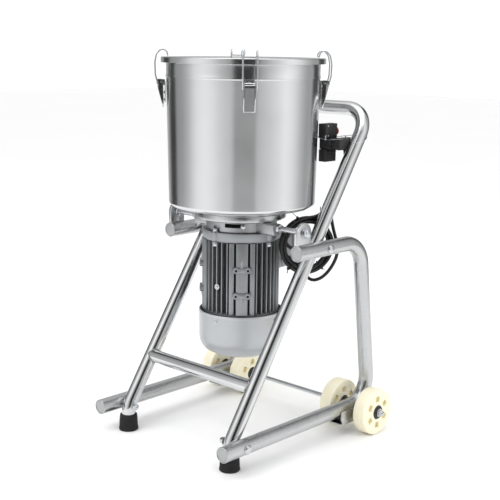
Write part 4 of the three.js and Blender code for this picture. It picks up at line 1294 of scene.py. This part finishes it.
# ---- Cutter and rotor ----
def cutter():
    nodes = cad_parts
    shaft = turned([(0, 240), (9.4, 240), (10, 240.6), (10, 272), (12, 272.6), (12, 306), (40, 306),
                   (40, 430),
                    (12, 430), (12, 541), (22.5, 541), (24, 542.5), (24, 549.5), (22.5, 551), (9, 551),
                    (9, 580),
                    (8.4, 580.6), (0, 580.6)], 56)
    made("rotorShaft", shaft, finishes["turnedSteel"], "rotor", ("motor_shaft",), "satin_stainless")
    spacer = turned([(9.3, 555.1), (19, 555.1), (20, 556.1), (20, 566), (19, 567), (9.3, 567)], 48)
    made("cutterSpacer", spacer, finishes["turnedSteel"], "rotor", ("blade_spacer",), "satin_stainless")
    nut = hexNut(27, 13)
    merged(nut, turned([(0, 12.5), (11.4, 12.5), (10.4, 16.5), (6, 19), (0, 19.8)], 40))
    bmesh.ops.translate(nut, vec=(0, 0, 571.1), verts=nut.verts)
    made("cutterNut", nut, finishes["zinc"], "rotor", ("blade_nut",), "satin_stainless")
    for name, node, low, reach, crank, turn in (
        ("lowerCutter", "lower_blade", 551.3, 132, 0.2, 0), ("upperCutter", "upper_blade", 567.3, 96,
        -0.5, 90),
    ):
        flat, thick = reach * 0.62, 3.4
        bm = bmesh.new()
        rows = [(0, 22), (flat * 0.5, 14.6), (flat, 8.2)]
        long = (reach - flat) / math.cos(crank)
        rows += [(flat + long * 0.45 * math.cos(crank), 7.9), (flat + long * 0.98 * math.cos(crank), 6.4)]
        heights = [0, 0, 0, -long * 0.45 * math.sin(crank), -long * 0.98 * math.sin(crank)]
        for half in (0, 180):
            part = bmesh.new()
            loops = []
            for (x, width), z in zip(rows, heights):
                # Back edge full, leading edge ground to a bevel.
                top = z + thick
                ring = [(x, -width, z), (x, -width, top), (x, width - 4, top), (x, width, z + 0.7),
                        (x, width, z)]
                loops.append([part.verts.new(p) for p in ring])
            for one, two in zip(loops, loops[1:]):
                for i in range(5):
                    part.faces.new((one[i], one[(i + 1) % 5], two[(i + 1) % 5], two[i]))
            part.faces.new(loops[-1])
            bmesh.ops.recalc_face_normals(part, faces=part.faces)
            merged(bm, part, roundZ(half))
        bmesh.ops.remove_doubles(bm, verts=bm.verts, dist=0.01)
        bmesh.ops.holes_fill(bm, edges=[e for e in bm.edges if e.is_boundary], sides=12)
        bmesh.ops.recalc_face_normals(bm, faces=bm.faces)
        bmesh.ops.transform(bm, matrix=Matrix.Translation((0, 0, low)) @ roundZ(turn), verts=bm.verts)
        made(name, bm, finishes["blade"], "rotor", (node,), "blade_steel", 25)
    bm = turned([(10.3, 244), (19, 244), (20, 245), (20, 258), (74, 258), (74, 261), (20, 262),
                (10.3, 262)], 64)
    for k in range(6):
        merged(bm, block((19, -1.2, 226), (73, 1.2, 259), 0.5, 2), roundZ(60 * k))
    made("fanWheel", bm, finishes["abs"], "rotor", ("cooling_fan",), "black_plastic")
    for node, finish in (("stator", "winding"), ("upper_bearing", "turnedSteel"),
                         ("lower_bearing", "turnedSteel"),
                         ("shaft_seal", "rubber")):
        nodes[node].material_slots[0].material = finishes[finish]


cutter()
print("cutter ready")

# ---- Latches ----
latch = {"turns": (48, 138, 228, 318), "pivotZ": 797, "wire": 1.5}


def latchSet(number, turn):
    spin = roundZ(turn)
    f = lambda r: -r
    base = block((-13, f(172.4), 752), (13, f(170.2), 798), 0.8, 2)
    for side in (-1, 1):
        x = sorted((side * 7.2, side * 9))
        merged(base, block((x[0], f(183), 789), (x[1], f(171.6), 802), 0.7, 2))
    for z in (758, 774):
        rivet = turned([(0, 0), (3.4, 0), (3.2, 0.9), (2.2, 1.5), (0, 1.8)], 24)
        merged(base, rivet, towards((0, f(172.3), z), (0, -1, 0)))
    bmesh.ops.transform(base, matrix=spin, verts=base.verts)
    made(f"latchPlate{number}", base, finishes["turnedSteel"], "drum_unit", (f"latch_base_{number}",),
         "satin_stainless")
    # Pressed lever: side cheeks, a sunk face plate, and the rolled top that carries the wire.
    lever = bmesh.new()
    cheek = [(f(188.6), 802.5), (f(190.5), 796), (f(176.4), 742), (f(174.3), 742), (f(175.2), 793),
             (f(177.5), 802.5)]
    for side in (-1, 1):
        part = drawn(cheek, 1.8, 0.4, 2)
        bmesh.ops.translate(part, vec=(side * 11.5 - 0.9, 0, 0), verts=part.verts)
        merged(lever, part)
    # The sunk face plate takes the darker panel finish: painted shade in the recess.
    face = [(f(187.6), 796), (f(189.2), 792), (f(176.0), 743), (f(174.7), 743), (f(187.4), 791),
            (f(186.4), 796)]
    plate = drawn(face, 20, 0.3, 1)
    bmesh.ops.translate(plate, vec=(-10, 0, 0), verts=plate.verts)
    bmesh.ops.transform(plate, matrix=spin, verts=plate.verts)
    made(f"latchPanel{number}", plate, finishes["pressedPanel"], f"latch_lever_{number}_body",
         slot="polished_stainless")
    merged(lever, rodBetween((-12.4, f(185.6), 799.2), (12.4, f(185.6), 799.2), 3.6, 32, 0.6))
    merged(lever, rodBetween((-12.2, f(175.9), 743.6), (12.2, f(175.9), 743.6), 1.7, 20, 0.5))
    merged(lever, rodBetween((-13.2, f(179), 797), (13.2, f(179), 797), 1.9, 20, 0.4))
    bmesh.ops.transform(lever, matrix=spin, verts=lever.verts)
    made(f"latchLever{number}", lever, finishes["brightTube"], f"latch_lever_{number}_body",
         (f"latch_lever_{number}",), "polished_stainless")
    half = 15.2
    leg = [(187, 790), (192.5, 812), (193.5, 838), (190, 856), (181.5, 865.5), (172.5, 866.5), (166.6, 860),
           (165.5, 853.9)]
    run = [(11, f(187), 790)] + [(half, f(r), z) for r, z in leg]
    run += [(-x, y, z) for x, y, z in reversed(run)]
    bends = [2.5, 20, 30, 14, 9, 8, 4, 3, 3, 4, 8, 9, 14, 30, 20, 2.5]
    wire = pipe(bentRoute(run, bends, 5), latch["wire"], 4)
    bmesh.ops.transform(wire, matrix=spin, verts=wire.verts)
    made(f"latchWire{number}", wire, finishes["zinc"], f"latch_bail_{number}_body",
         (f"latch_bail_{number}",),
         "polished_stainless")


for i, turn in enumerate(latch["turns"]):
    latchSet(i + 1, turn)
print("latches ready")
